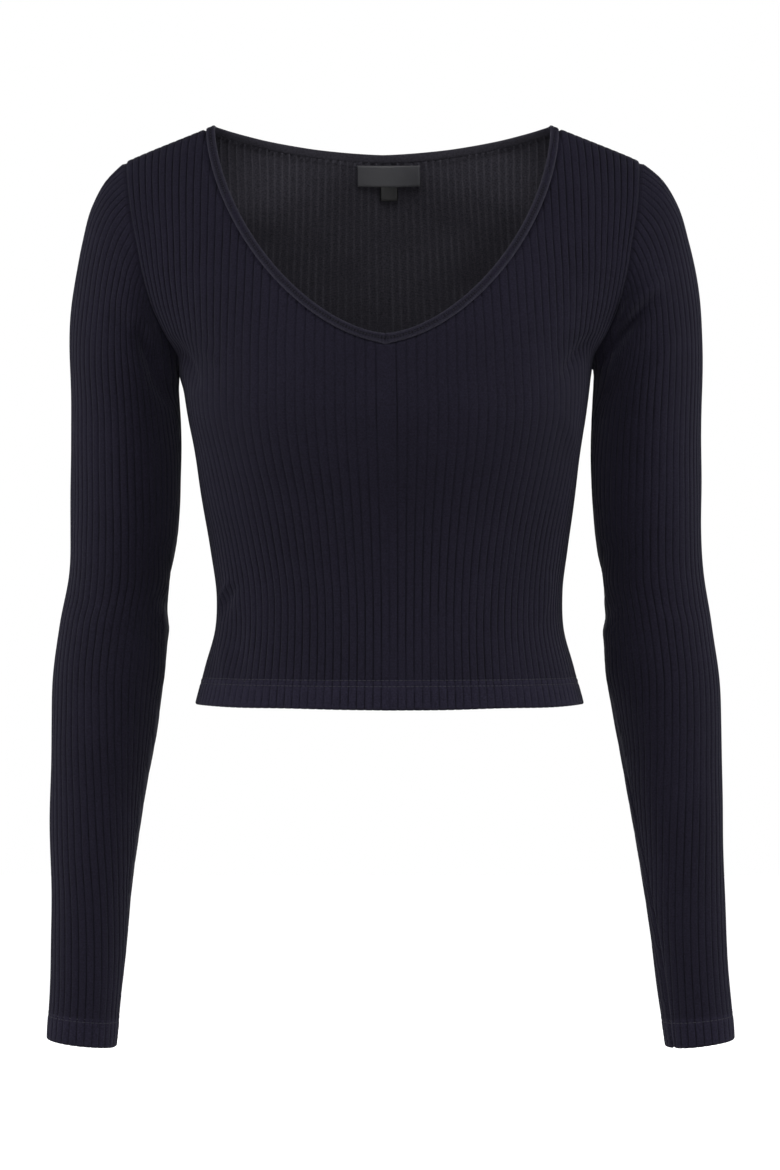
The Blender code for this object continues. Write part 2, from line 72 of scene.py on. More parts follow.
# %% The body, row by row from the hem up to the shoulder seams
# Drops are measured down from the neck points. The edge rows place the side seam and, above the
# underarm, the two armhole seams; front and back share them.
EDGE_ROWS = np.array((
    # drop, half_width, front_y, back_y
    (0.4055, 0.1358, 0.000, 0.000),
    (0.3800, 0.1287, 0.000, 0.000),
    (0.3540, 0.1219, 0.000, 0.000),
    (0.3300, 0.1210, 0.000, 0.000),
    (0.2980, 0.1246, 0.000, 0.000),
    (0.2630, 0.1302, 0.000, 0.000),
    (0.2350, 0.1337, 0.000, 0.000),
    (0.2050, 0.1393, 0.000, 0.000),
    (0.1720, 0.1437, -0.003, -0.003),
    (0.1640, 0.1447, -0.022, 0.018),
    (0.1465, 0.1548, -0.037, 0.035),
    (0.1327, 0.1612, -0.042, 0.041),
    (0.1113, 0.1674, -0.0445, 0.044),
    (0.0856, 0.1724, -0.0415, 0.0415),
    (0.0638, 0.1766, -0.0325, 0.035),
    (0.0450, 0.1791, -0.020, 0.027),
    (0.0320, 0.1803, -0.008, 0.019),
    (0.0264, 0.1808, 0.001, 0.0110),
    (0.0260, 0.1810, 0.006, 0.006),
))
# turn is the share of a quarter round that a row has turned through at its edge, full is the exponent
# of its superellipse, and open is how much wider the ribs are at the centre line than on average.
FRONT_ROWS = np.array((
    # drop, depth, turn, full, open
    (0.4072, -0.0985, 1.000, 2.25, 0.980),
    (0.3800, -0.0950, 1.000, 2.22, 1.010),
    (0.3540, -0.0905, 1.000, 2.18, 1.065),
    (0.3300, -0.0885, 1.000, 2.18, 1.090),
    (0.2980, -0.0925, 1.000, 2.22, 1.100),
    (0.2630, -0.1010, 1.000, 2.32, 1.100),
    (0.2350, -0.1120, 1.000, 2.45, 1.100),
    (0.2050, -0.1195, 1.000, 2.55, 1.075),
    (0.1720, -0.1172, 1.000, 2.45, 1.070),
    (0.1575, -0.1143, 0.996, 2.42, 1.183),
    (0.1420, -0.1096, 0.957, 2.38, 1.206),
    (0.1265, -0.1034, 0.893, 2.35, 1.208),
    (0.0980, -0.0876, 0.780, 2.30, 1.215),
    (0.0580, -0.0620, 0.700, 2.30, 1.200),
    (0.0215, -0.0420, 0.600, 2.30, 1.165),
    (-0.0093, -0.0210, 0.500, 2.30, 1.135),
    (-0.0316, -0.0112, 0.400, 2.30, 1.110),
    (-0.0480, -0.0010, 0.300, 2.30, 1.090),
    (-0.0487, 0.0060, 0.300, 2.30, 1.090),
))
BACK_ROWS = np.array((
    # drop, depth, turn, full, open
    (0.4055, 0.0950, 1.000, 2.30, 0.950),
    (0.3800, 0.0905, 1.000, 2.25, 0.970),
    (0.3540, 0.0845, 1.000, 2.20, 0.990),
    (0.3300, 0.0810, 1.000, 2.20, 1.000),
    (0.2980, 0.0825, 1.000, 2.25, 1.000),
    (0.2630, 0.0880, 1.000, 2.30, 1.000),
    (0.2350, 0.0925, 1.000, 2.35, 1.000),
    (0.2050, 0.0965, 1.000, 2.40, 1.000),
    (0.1700, 0.0990, 1.000, 2.40, 1.010),
    (0.1530, 0.0988, 0.997, 2.40, 1.088),
    (0.1250, 0.0965, 0.966, 2.38, 1.077),
    (0.0920, 0.0905, 0.898, 2.35, 1.066),
    (0.0550, 0.0800, 0.780, 2.30, 1.030),
    (0.0180, 0.0635, 0.700, 2.30, 0.990),
    (-0.0060, 0.0584, 0.600, 2.30, 0.955),
    (-0.0265, 0.0495, 0.500, 2.30, 0.940),
    (-0.0430, 0.0320, 0.400, 2.30, 0.930),
    (-0.0482, 0.0170, 0.300, 2.30, 0.930),
    (-0.0487, 0.0060, 0.300, 2.30, 0.930),
))
UNDERARM_ROW = 8

# %% The sleeves, station by station from the armhole down to the cuff
# Outer and inner are the two edges of the sleeve's outline from the front, depth is half its thickness
# from front to back, hug is how much of the armhole's own shape it still follows, and sway is how far
# both sleeves hang to one side of the shoulders.
SLEEVE_STATIONS = np.array((
    # outer_x, outer_drop, inner_x, inner_drop, middle_y, depth, hug, sway
    (0.1810, 0.0260, 0.1440, 0.1725, 0.000, 0.0440, 1.00, 0.0026),   # armhole
    (0.1952, 0.0390, 0.1447, 0.1775, 0.000, 0.0455, 0.80, 0.0026),
    (0.2049, 0.0560, 0.1447, 0.1840, 0.001, 0.0465, 0.50, 0.0026),
    (0.2122, 0.0820, 0.1444, 0.1940, 0.002, 0.0470, 0.20, 0.0026),
    (0.2189, 0.1180, 0.1440, 0.2080, 0.004, 0.0465, 0.00, 0.0026),   # top of the arm
    (0.2220, 0.1550, 0.1436, 0.2260, 0.005, 0.0460, 0.00, 0.0026),
    (0.2210, 0.1980, 0.1438, 0.2450, 0.006, 0.0450, 0.00, 0.0026),
    (0.2214, 0.2450, 0.1450, 0.2720, 0.007, 0.0440, 0.00, 0.0026),
    (0.2215, 0.2850, 0.1482, 0.2980, 0.008, 0.0430, 0.00, 0.0026),
    (0.2228, 0.3170, 0.1523, 0.3200, 0.008, 0.0420, 0.00, 0.0026),   # elbow
    (0.2283, 0.3500, 0.1525, 0.3450, 0.006, 0.0420, 0.00, 0.0024),
    (0.2331, 0.3830, 0.1537, 0.3760, 0.003, 0.0410, 0.00, 0.0024),
    (0.2343, 0.4200, 0.1587, 0.4130, 0.000, 0.0390, 0.00, 0.0026),   # forearm
    (0.2348, 0.4650, 0.1670, 0.4600, -0.005, 0.0355, 0.00, 0.0030),
    (0.2348, 0.5100, 0.1744, 0.5070, -0.010, 0.0320, 0.00, 0.0033),
    (0.2346, 0.5550, 0.1807, 0.5550, -0.015, 0.0290, 0.00, 0.0042),
    (0.2364, 0.6000, 0.1860, 0.6030, -0.019, 0.0270, 0.00, 0.0051),
    (0.2386, 0.6374, 0.1908, 0.6430, -0.022, 0.0265, 0.00, 0.0056),   # cuff edge
))

# %% [markdown]
# ## Surfaces from tables
#
# A surface is a function of two numbers. For the body, v climbs from the hem to the shoulder seam and u
# runs from the centre line to the side seam, so a line of constant u is a rib: ribs spread over the bust,
# close up at the waist, and follow the armhole. A smooth curve through the rows needs only the rows and a
# slope at each, which is a cubic Hermite curve.


# %% Smooth curves through the rows of a table
def curve_through(knots, values, at):
    """A cubic on each span between two knots, with its slope at a knot taken from the parabola through
    that knot and its two neighbours."""
    knots, values, at = (np.asarray(a, float) for a in (knots, values, at))
    step = np.diff(knots)
    secant = np.diff(values, axis=0) / step[:, None]
    slope = np.empty_like(values)
    before, after = step[:-1, None], step[1:, None]
    slope[1:-1] = (secant[:-1] * after + secant[1:] * before) / (before + after)
    slope[0], slope[-1] = secant[0], secant[-1]
    span = np.clip(np.searchsorted(knots, at, side="right") - 1, 0, len(step) - 1)
    width = step[span][..., None]
    t = ((at - knots[span]) / step[span])[..., None]
    return (
        (2 * t**3 - 3 * t**2 + 1) * values[span]
        + (t**3 - 2 * t**2 + t) * width * slope[span]
        + (3 * t**2 - 2 * t**3) * values[span + 1]
        + (t**3 - t**2) * width * slope[span + 1]
    )


def run_along(points):
    """The length from the start to each point, along a path of points or along each row of a grid."""
    steps = np.linalg.norm(np.diff(points, axis=-2), axis=-1).cumsum(axis=-1)
    return np.concatenate([np.zeros(steps.shape[:-1] + (1,)), steps], axis=-1)


def at_runs(places, run, values):
    """A table of rows of three, read at places along its run."""
    return np.stack([np.interp(places, run, values[:, i]) for i in range(3)], axis=1)


def unit(vectors):
    """The vectors at a length of one."""
    return vectors / np.linalg.norm(vectors, axis=-1, keepdims=True).clip(1e-12)


def smooth_step(low, high, value):
    """0 below low, 1 above high, and 3 t squared minus 2 t cubed between."""
    t = np.clip((value - low) / (high - low), 0, 1)
    return t * t * (3 - 2 * t)


def bell(distance, reach):
    """exp of minus the square of the distance over the reach: 1 on a line, and nearly 0 well away."""
    return np.exp(-((distance / reach) ** 2))


edge_run = run_along(EDGE_ROWS[:, :3])
EDGE_LENGTH = edge_run[-1]
ROW_V = edge_run / EDGE_LENGTH
UNDERARM_V = ROW_V[UNDERARM_ROW]
print(f"the body's edge is {EDGE_LENGTH:.3f} m long, and the underarm is {UNDERARM_V:.2f} of the way up")


# %% The body's surface
SECTION_SAMPLES = 65         # samples that measure a row's length
WALKED_ROWS = 12             # rows of a grid worked out at a time, to save memory
LEAST_TURN = 0.05


def sway_at(drop):
    """Sideways shift of the whole body at a drop: none at the shoulders, complete at the waist."""
    return SWAY * np.clip(drop / SWAY_END, 0, 1)


def body_point(u, v, back=False):
    """A row is a share of a quarter superellipse: x is half_width times sine to the power 2/full, and y
    falls from depth to the edge's y as cosine to the same power does. u divides that row's own length,
    which is measured along samples of the angle: its share is open times u less (open - 1) u cubed."""
    u, v = np.broadcast_arrays(np.asarray(u, float), np.asarray(v, float))
    edge = curve_through(ROW_V, EDGE_ROWS, v)
    middle = curve_through(ROW_V, BACK_ROWS if back else FRONT_ROWS, v)
    edge_drop, half_width, edge_y = edge[..., 0], edge[..., 1], edge[..., 3 if back else 2]
    middle_drop, depth, turn, full, wide = np.moveaxis(middle, -1, 0)
    turn = np.clip(turn, LEAST_TURN, 1.0)
    last = np.arcsin(turn ** (full / 2))
    row = (edge_drop, half_width, edge_y, middle_drop, depth, turn, 2 / full, last)

    def on_row(angle):
        """x, y and drop of the row at an angle, which may have one axis more than the row."""
        more = (None,) * (angle.ndim - last.ndim)
        e_drop, e_x, e_y, m_drop, m_y, share, power, end = (a[(..., *more)] for a in row)
        across = np.sin(angle) ** power / share
        bend = (1 - np.cos(angle).clip(0) ** power) / (1 - np.cos(end).clip(0) ** power)
        return np.stack([e_x * across, m_y + (e_y - m_y) * bend, m_drop + (e_drop - m_drop) * across], -1)

    angle = last[..., None] * np.linspace(0, 1, SECTION_SAMPLES)
    length = run_along(on_row(angle))
    wanted = ((wide - (wide - 1) * u ** 2) * np.abs(u) * length[..., -1])[..., None]
    low = np.clip((length <= wanted).sum(-1, keepdims=True) - 1, 0, SECTION_SAMPLES - 2)
    start, stop = np.take_along_axis(length, low, -1), np.take_along_axis(length, low + 1, -1)
    share = (low + (wanted - start) / (stop - start))[..., 0] / (SECTION_SAMPLES - 1)
    x, y, drop = np.moveaxis(on_row(last * share), -1, 0)
    return np.stack([np.sign(u) * x + sway_at(drop), y, NECK_POINT_Z - drop], axis=-1)


def body_grid(u, v, back):
    """The points of a grid of u with a row for each v, a few rows at a time."""
    pieces = max(1, len(v) // WALKED_ROWS)
    chunks = zip(np.array_split(u, pieces), np.array_split(v, pieces))
    return np.concatenate([body_point(us, rows[:, None], back) for us, rows in chunks])


def grid_normals(grid, back):
    """Unit normals of the outer face: the cross product of the differences along the two ways of the
    grid, turned round on the back, where the ribs count the other way as seen from outside."""
    return unit(np.cross(np.gradient(grid, axis=1), np.gradient(grid, axis=0)) * (-1 if back else 1))


# %% [markdown]
# ## The armhole and the sleeves
#
# A sleeve is a tube whose rings start as the armhole itself and turn, station by station, into a level
# oval at the cuff. f runs once round it from the outside of the arm, and t from the armhole to the cuff.


# %% The sleeve's surface
ARMHOLE_SAMPLES = 161
GAP_RUN = 0.006              # the length over which a sleeve leaves the armhole


def sleeve_oval(f, station):
    """The plain oval of a station on the side of +X, with z as minus the drop: the middle of the two
    edges, plus half their difference times cosine, and minus the depth times sine in y."""
    outer = np.stack([station[..., 0], station[..., 4], -station[..., 1]], axis=-1)
    inner = np.stack([station[..., 2], station[..., 4], -station[..., 3]], axis=-1)
    angle = 2 * np.pi * f
    oval = (outer + inner) / 2 + (outer - inner) / 2 * np.cos(angle)[..., None]
    oval[..., 1] -= station[..., 5] * np.sin(angle)
    return oval


def armhole_table(back):
    """How far round the sleeve each row of the armhole meets it, from 0 at the shoulder to 0.5 under the
    arm: the angle of the armhole's point about the middle of the first station's oval."""
    outer_x, outer_drop, inner_x, inner_drop, middle_y, depth = SLEEVE_STATIONS[0][:6]
    axis = np.array([outer_x - inner_x, inner_drop - outer_drop]) / 2
    v = np.linspace(1, UNDERARM_V, ARMHOLE_SAMPLES)
    edge = curve_through(ROW_V, EDGE_ROWS, v)
    x = edge[:, 1] - (outer_x + inner_x) / 2
    rise = (outer_drop + inner_drop) / 2 - edge[:, 0]
    along = (x * axis[0] + rise * axis[1]) / (axis @ axis)
    aside = (edge[:, 3 if back else 2] - middle_y) / depth * (1 if back else -1)
    turn = np.arctan2(aside, along) / (2 * np.pi)
    turn = np.where(turn < -0.25, turn + 1, turn)        # no step of a whole round under the arm
    return np.maximum.accumulate((turn - turn[0]) / (turn[-1] - turn[0]) / 2), v


ARMHOLE_FRONT, ARMHOLE_BACK = armhole_table(False), armhole_table(True)


def armhole_point(f):
    """A point of the armhole seam on the side of +X, with z as minus the drop."""
    front = f <= 0.5
    v = np.where(front, np.interp(f, *ARMHOLE_FRONT), np.interp(1 - f, *ARMHOLE_BACK))
    edge = curve_through(ROW_V, EDGE_ROWS, v)
    return np.stack([edge[..., 1], np.where(front, edge[..., 2], edge[..., 3]), -edge[..., 0]], axis=-1)


middle_line = (SLEEVE_STATIONS[:, [0, 4, 1]] + SLEEVE_STATIONS[:, [2, 4, 3]]) / 2
sleeve_run = run_along(middle_line)
SLEEVE_LENGTH = sleeve_run[-1]
SLEEVE_T = sleeve_run / SLEEVE_LENGTH
print(f"a sleeve's middle line is {SLEEVE_LENGTH:.3f} m long")


def sleeve_point(f, t, side):
    """A ring is the station's oval plus hug times the armhole's own departure from the first oval. It
    starts on the armhole and leaves it by the armpit's gap over a few millimetres."""
    f, t = np.broadcast_arrays(np.asarray(f, float) % 1, np.asarray(t, float))
    station = curve_through(SLEEVE_T, SLEEVE_STATIONS, t)
    hug = np.clip(station[..., 6], 0, 1)
    seam = armhole_point(f)
    leave = 1 - np.exp(-t * SLEEVE_LENGTH / GAP_RUN)
    seam[..., 0] += ARMPIT_GAP * (1 - np.cos(2 * np.pi * f)) / 2 * leave
    point = sleeve_oval(f, station) + hug[..., None] * (seam - sleeve_oval(f, SLEEVE_STATIONS[0]))
    sway = station[..., 7] + hug * (sway_at(-point[..., 2]) - station[..., 7])
    shift = np.stack([sway, np.zeros(sway.shape), np.full(sway.shape, NECK_POINT_Z)], axis=-1)
    return point * (side, 1, 1) + shift


# %% [markdown]
# ## Ribs
#
# A rib knit is flat, wide ribs with a narrow furrow between two of them, and it stretches by opening the
# furrows. Each rib gets eight columns of points, crowded round the furrow where the surface bends most.
# The relief is real geometry, because the ribs draw the outline of the cloth and catch the light from
# the side; the much finer stitches are left to the material.

# %% Rib relief
FRONT_RIBS = 33              # from the centre line to the side seam
BACK_RIBS = 34
SLEEVE_RIBS = 29             # from the top of the arm to the seam under it
RIB_PITCH = 0.0056           # a rib and its furrow, unstretched
FURROW_DEPTH = 0.00055
FURROW_SHARE = 0.095         # half its width, as a share of the pitch
RIB_CROWN = 0.00014          # how far the middle of a rib stands above its sides
RIB_PHASES = np.array((0, 0.07, 0.16, 0.30, 0.50, 0.70, 0.84, 0.93))
SLACK_RANGE = (0.5, 1.1)     # the knit's own pitch over its pitch here, at its least and at its most


def rib_columns(ribs):
    """The rib coordinate of each column from minus to plus so many ribs; whole numbers are furrows."""
    return np.append((np.arange(-ribs, ribs)[:, None] + RIB_PHASES).ravel(), ribs)


def slack_of(pitch):
    """1 where the ribs lie at their own pitch, falling to 0.25 where they are stretched to twice that."""
    return np.clip(RIB_PITCH / pitch, *SLACK_RANGE) ** 2


def rib_relief(rib, slack):
    """A bell-shaped furrow at each whole number, and a sine for the crown between two, both flatter in
    stretched knit."""
    phase = rib - np.floor(rib)
    furrow = bell(np.minimum(phase, 1 - phase), FURROW_SHARE)
    return (RIB_CROWN * np.sin(np.pi * phase) - FURROW_DEPTH * furrow) * slack


def pitch_of(grid, rib):
    """The distance over the surface from one furrow to the next."""
    return np.linalg.norm(np.gradient(grid, rib, axis=1), axis=-1).clip(1e-4)


# %% [markdown]
# ## Creases
#
# Knit this soft has few creases, and each has its own place: a diagonal one where the sleeve's weight
# pulls at the armhole, small ones where the waist turns, and shallow bends at the elbows. Each is a line
# on the front view with a bow, a half width and a height, so that it can be put exactly where the cloth
# folds. A positive height is a ridge and a negative one a trough.

# %% Crease table
FACES = {"front": (0, -1, 0), "back": (0, 1, 0), "left": (-1, 0, 0), "right": (1, 0, 0)}
FULL_FACING = 0.35           # a crease is whole where the normal's share along its face is this much
CREASE_TAPER = 0.8           # power of the half sine along a crease: under 1 has blunter ends
CREASES = (
    # piece, face, start, start_z, end, end_z, bow, half_width, height
    ("sleeve_right", "front", 0.196, -0.096, 0.150, -0.148, 0.004, 0.0050, 0.0055),
    ("sleeve_right", "front", 0.192, -0.110, 0.150, -0.160, 0.004, 0.0045, -0.0058),
    ("sleeve_right", "front", 0.206, -0.126, 0.166, -0.184, -0.003, 0.0070, 0.0016),
    ("sleeve_right", "front", 0.176, -0.318, 0.226, -0.326, 0.002, 0.0080, -0.0011),
    ("sleeve_right", "front", 0.180, -0.333, 0.218, -0.340, -0.002, 0.0075, 0.0009),
    ("sleeve_right", "left", -0.024, -0.322, 0.026, -0.334, 0.002, 0.0070, -0.0014),
    ("sleeve_right", "left", -0.018, -0.343, 0.030, -0.338, 0.002, 0.0065, 0.0010),
    ("sleeve_right", "back", 0.188, -0.104, 0.150, -0.148, 0.003, 0.0060, 0.0022),
    ("sleeve_right", "back", 0.190, -0.120, 0.152, -0.166, 0.003, 0.0065, -0.0024),
    ("sleeve_right", "back", 0.184, -0.316, 0.222, -0.309, -0.002, 0.0080, 0.0010),
    ("sleeve_left", "front", -0.186, -0.106, -0.149, -0.152, -0.003, 0.0060, 0.0018),
    ("sleeve_left", "front", -0.188, -0.121, -0.152, -0.166, -0.003, 0.0060, -0.0018),
    ("sleeve_left", "front", -0.222, -0.322, -0.172, -0.314, 0.002, 0.0080, -0.0012),
    ("sleeve_left", "front", -0.214, -0.340, -0.168, -0.334, -0.002, 0.0070, 0.0010),
    ("sleeve_left", "right", -0.026, -0.318, 0.022, -0.330, -0.002, 0.0070, -0.0015),
    ("sleeve_left", "right", -0.020, -0.338, 0.028, -0.346, -0.002, 0.0060, 0.0009),
    ("sleeve_left", "back", -0.192, -0.100, -0.151, -0.146, -0.003, 0.0065, 0.0024),
    ("sleeve_left", "back", -0.190, -0.118, -0.153, -0.160, -0.003, 0.0060, -0.0022),
    ("sleeve_left", "back", -0.218, -0.330, -0.180, -0.321, 0.002, 0.0085, -0.0010),
    ("sleeve_left", "front", -0.168, -0.126, -0.148, -0.186, 0.002, 0.0050, -0.0048),
    ("sleeve_left", "right", -0.034, -0.161, 0.030, -0.164, 0.000, 0.0075, 0.0012),
    ("front", "front", -0.146, -0.140, -0.126, -0.176, -0.002, 0.0040, -0.0034),
    ("front", "front", -0.136, -0.136, -0.112, -0.162, -0.002, 0.0040, 0.0014),
    ("front", "left", -0.050, -0.161, 0.010, -0.165, 0.000, 0.0075, 0.0013),
    ("front", "front", 0.146, -0.138, 0.122, -0.170, 0.002, 0.0040, -0.0026),
    ("front", "front", -0.1040, -0.3060, -0.1140, -0.3320, 0.002, 0.0020, 0.0024),
    ("front", "front", -0.0990, -0.3080, -0.1090, -0.3350, 0.002, 0.0030, -0.0018),
    ("front", "front", -0.109, -0.322, -0.104, -0.388, 0.004, 0.0050, 0.0016),
    ("front", "front", -0.096, -0.322, -0.094, -0.380, 0.003, 0.0050, -0.0012),
    ("front", "front", 0.122, -0.190, 0.132, -0.220, -0.002, 0.0050, 0.0014),
    ("front", "front", 0.114, -0.300, 0.106, -0.336, -0.003, 0.0045, 0.0013),
    ("back", "back", 0.112, -0.302, 0.066, -0.315, 0.003, 0.0060, -0.0016),
    ("back", "back", 0.108, -0.318, 0.074, -0.330, 0.003, 0.0055, 0.0013),
    ("back", "back", -0.108, -0.296, -0.052, -0.310, -0.003, 0.0065, -0.0018),
    ("back", "back", -0.112, -0.314, -0.070, -0.324, -0.002, 0.0055, 0.0012),
    ("back", "back", -0.118, -0.150, -0.084, -0.124, 0.002, 0.0070, 0.0014),
    ("back", "back", 0.122, -0.146, 0.092, -0.116, -0.003, 0.0065, 0.0012),
)


def crease_relief(piece, point, normal):
    """The sum of all creases of a piece. Across its line a crease is a bell, along it a half sine, and
    it fades where the cloth turns away from the face it lies on. A line on the left or right face runs
    in y and z instead of x and z."""
    relief = np.zeros(point.shape[:-1])
    for name, face, start, z0, end, z1, bow, half_width, height in CREASES:
        if name != piece:
            continue
        way = np.array((end - start, z1 - z0))
        length = math.hypot(*way)
        way = way / length
        level = point[..., 1 if face in ("left", "right") else 0] - start
        rise = point[..., 2] - z0
        s = np.clip((level * way[0] + rise * way[1]) / length, 0, 1)
        aside = level * way[1] - rise * way[0] - bow * 4 * s * (1 - s)
        facing = smooth_step(0.0, FULL_FACING, normal @ np.array(FACES[face]))
        relief += height * bell(aside, half_width) * np.sin(np.pi * s) ** CREASE_TAPER * facing
    return relief


# %% [markdown]
# ## From a grid to a mesh
#
# The neckline cuts across the ribs, and a tapered sleeve has fewer ribs at the cuff than at the armhole.
# Both are made the same way: the grid goes on past the edge, every point beyond the edge is moved onto
# it, and points that fell together become one. Triangles with two corners in one place are dropped.


# %% Mesh of knit
def smooth_piece(name, mesh, material):
    """An object of the mesh, shaded smooth, at the origin."""
    mesh.polygons.foreach_set("use_smooth", np.ones(len(mesh.polygons), bool))
    mesh.materials.append(material)
    piece = bpy.data.objects.new(name, mesh)
    bpy.context.scene.collection.objects.link(piece)
    return piece


def knit_mesh(name, points, uv, material, index=None, outward=None, slack=None):
    """Two triangles for each cell of a grid of points. index gives the point that stands for each, and
    outward the normals that the faces have to agree with. uv is kept for each corner, and slack, which
    is 0 for stretched and 1 for loose knit, for each point."""
    rows, columns = points.shape[:2]
    own = np.arange(rows * columns).reshape(rows, columns)
    index = own if index is None else index
    quad = np.stack([own[:-1, :-1], own[:-1, 1:], own[1:, 1:], own[1:, :-1]], axis=-1).reshape(-1, 4)
    corner = np.concatenate([quad[:, [0, 1, 2]], quad[:, [0, 2, 3]]])
    vertex = index.ravel()[corner]
    real = (vertex != np.roll(vertex, 1, axis=1)).all(axis=1)
    corner, vertex = corner[real], vertex[real]
    flat = points.reshape(-1, 3)
    if outward is not None:
        a, b, c = (flat[vertex[:, i]] for i in range(3))
        votes = np.cross(b - a, c - a) * outward.reshape(-1, 3)[vertex[:, 0]]
        if votes.sum() < 0:
            corner, vertex = corner[:, ::-1], vertex[:, ::-1]
    used, vertex = np.unique(vertex, return_inverse=True)
    vertex = vertex.reshape(-1, 3)
    mesh = bpy.data.meshes.new(name)
    mesh.vertices.add(len(used))
    mesh.vertices.foreach_set("co", flat[used].ravel())
    mesh.loops.add(vertex.size)
    mesh.loops.foreach_set("vertex_index", vertex.ravel().astype(np.int32))
    mesh.polygons.add(len(vertex))
    mesh.polygons.foreach_set("loop_start", np.arange(0, vertex.size, 3, dtype=np.int32))
    mesh.update(calc_edges=True)
    layer = mesh.uv_layers.new(name="knit")
    layer.data.foreach_set("uv", uv.reshape(-1, 2)[corner.ravel()].ravel())
    loose = np.ones(len(flat)) if slack is None else slack.ravel()
    mesh.attributes.new("slack", "FLOAT", "POINT").data.foreach_set("value", loose[used].astype(np.float32))
    mesh.validate()
    print(f"{name}: {len(vertex)} triangles")
    return smooth_piece(name, mesh, material)


# %% [markdown]
# ## Seams and turned edges
#
# At a seam both pieces are drawn inwards by the stitches, and their edges turn in as a short allowance.
# Both neighbours must dip in the same direction, or a gap opens, so each kind of seam has one direction:
# an armhole is drawn towards the middle of the shoulder joint, a side seam level, a shoulder seam down.
# The hem and the cuffs are folded up inside. The sheet of points simply goes on round a small roll at the
# edge and up the inner side again.

# %% Seam and hem sizes
SEAM_DIP = 0.0014            # how far the stitches draw a seam in
SEAM_REACH = 0.0015          # over about this length on each side of it
ALLOWANCE = np.array((0.0018, 0.0050))       # steps of the edge turned in behind a seam
HEM_ROLL = 0.00115           # radius of the folded edge
HEM_SWELL = 0.00035          # two layers stand this far out
BODY_STITCHES = (0.0150, 0.0188)             # heights of the two rows of stitches above the hem's edge
CUFF_STITCHES = (0.0170,)                    # and of the one on a cuff
STITCH_DENT = 0.00042
STITCH_REACH = 0.0008
TURN_ROWS = np.linspace(0, np.pi, 8)[1:]     # angles of the rows round the folded edge
INNER_ROWS = 7               # rows of the part turned up inside
INNER_LOW = 0.0015           # the lowest of them, above the folded edge
SWELL_END = (-0.0015, 0.0030)                # the swell ends from here to here, against HEM_DEPTH
FOLD_FLAT = (0.0005, 0.006)  # the ribs rise from the fold between these heights
FOLD_PRESS = 0.75            # and this share of them is pressed flat at the fold
STITCH_PRESS = 0.45          # as this share is at the stitches
PRESS_REACH = 0.004
FINE_UNTIL = 0.024           # the rows of a turned edge are fine up to this height
SEAM_ROWS = np.array((0, 0.0007, 0.0015, 0.0025, 0.004, 0.006))      # rows before a seam, from it


def seam_pull(distance):
    """How far the cloth is drawn in at a distance from a seam: a bell."""
    return SEAM_DIP * bell(distance, SEAM_REACH)


def row_plan(fine, coarse, total):
    """Heights of the rows from a folded edge to a seam: fine steps, then coarse ones, then a few close
    to the seam."""
    low = np.arange(HEM_ROLL, FINE_UNTIL, fine)
    top = total - SEAM_ROWS[::-1]
    middle = np.linspace(FINE_UNTIL, top[0], int(round((top[0] - FINE_UNTIL) / coarse)), endpoint=False)
    return np.concatenate([low, middle, top])


def edge_relief(height, stitches):
    """The swell of a turned edge, and the line that each row of stitches presses into it."""
    low, high = SWELL_END
    swell = HEM_SWELL * (1 - smooth_step(HEM_DEPTH + low, HEM_DEPTH + high, height))
    return swell - sum(STITCH_DENT * bell(height - at, STITCH_REACH) for at in stitches)


def hem_calm(height, stitches):
    """The share of the ribs' relief that is left on a turned edge: pressed flat at the fold and at the
    stitches."""
    at_fold = 1 - FOLD_PRESS * (1 - smooth_step(*FOLD_FLAT, height))
    return at_fold * (1 - STITCH_PRESS * bell(height - stitches, PRESS_REACH))


def folded_sheet(base, normal, upward, relief, height):
    """The rows of the outer face, led by the rows of a folded edge. At an angle turned round the roll, a
    point is the roll's centre plus the radius times cosine along the normal and minus the radius times
    sine along the upward tangent. The relief rides on that radius, so it faces inwards on the inside.
    Beside the points come the row of the outer face that each row is made from, which rows are outer
    ones, and the run of each row, which is its height or, behind the fold, minus the way round to it."""
    inner_heights = np.linspace(HEM_DEPTH, INNER_LOW, INNER_ROWS)
    inner = np.abs(height[:, None] - inner_heights).argmin(axis=0)
    source = np.concatenate([inner, np.zeros(len(TURN_ROWS), int), np.arange(len(height))])
    turn = np.concatenate([np.full(INNER_ROWS, np.pi), TURN_ROWS[::-1], np.zeros(len(height))])
    roll = np.full(len(source), HEM_ROLL)
    roll[0] = HEM_ROLL / 4                   # the raw edge lies close against the cloth
    bead = roll[:, None] + relief[source]
    out = np.cos(turn)[:, None] * bead - roll[:, None]
    down = np.sin(turn)[:, None] * bead
    points = base[source] + normal[source] * out[..., None] - upward[source] * down[..., None]
    inside = -height[source] - np.pi * HEM_ROLL
    run = np.where(turn == 0, height[source], np.where(turn == np.pi, inside, -turn * HEM_ROLL))
    return points, source, turn == 0, run


# %% [markdown]
# ## Where the neckline cuts the ribs
#
# The maker cuts the neckline out of a panel whose ribs run straight on up. So the grid runs up to the
# shoulder line too, and each column stops where it enters the opening as seen from the front.


# %% The neck opening
def shoulder_drop(x):
    """The drop of the shoulder seam's straight line at a distance from the middle."""
    middle, edge = FRONT_ROWS[-1, 0], EDGE_ROWS[-1]
    return middle + (edge[0] - middle) * x / edge[1]


def opening_drop(x, back, grow):
    """The drop of the neckline at a distance from the middle: a superellipse in front, and a power of
    the distance behind. grow makes the opening larger all round."""
    half_width = NECK_HALF_WIDTH + grow
    end = shoulder_drop(half_width)
    share = (np.abs(x) / half_width).clip(0, 1)
    if back:
        return end + (NECK_BACK_DROP + grow - end) * (1 - share**NECK_BACK_POWER)
    depth = (1 - share**NECK_FRONT_POWER) ** (1 / NECK_FRONT_POWER)
    return end + (NECK_FRONT_DROP + grow - end) * depth


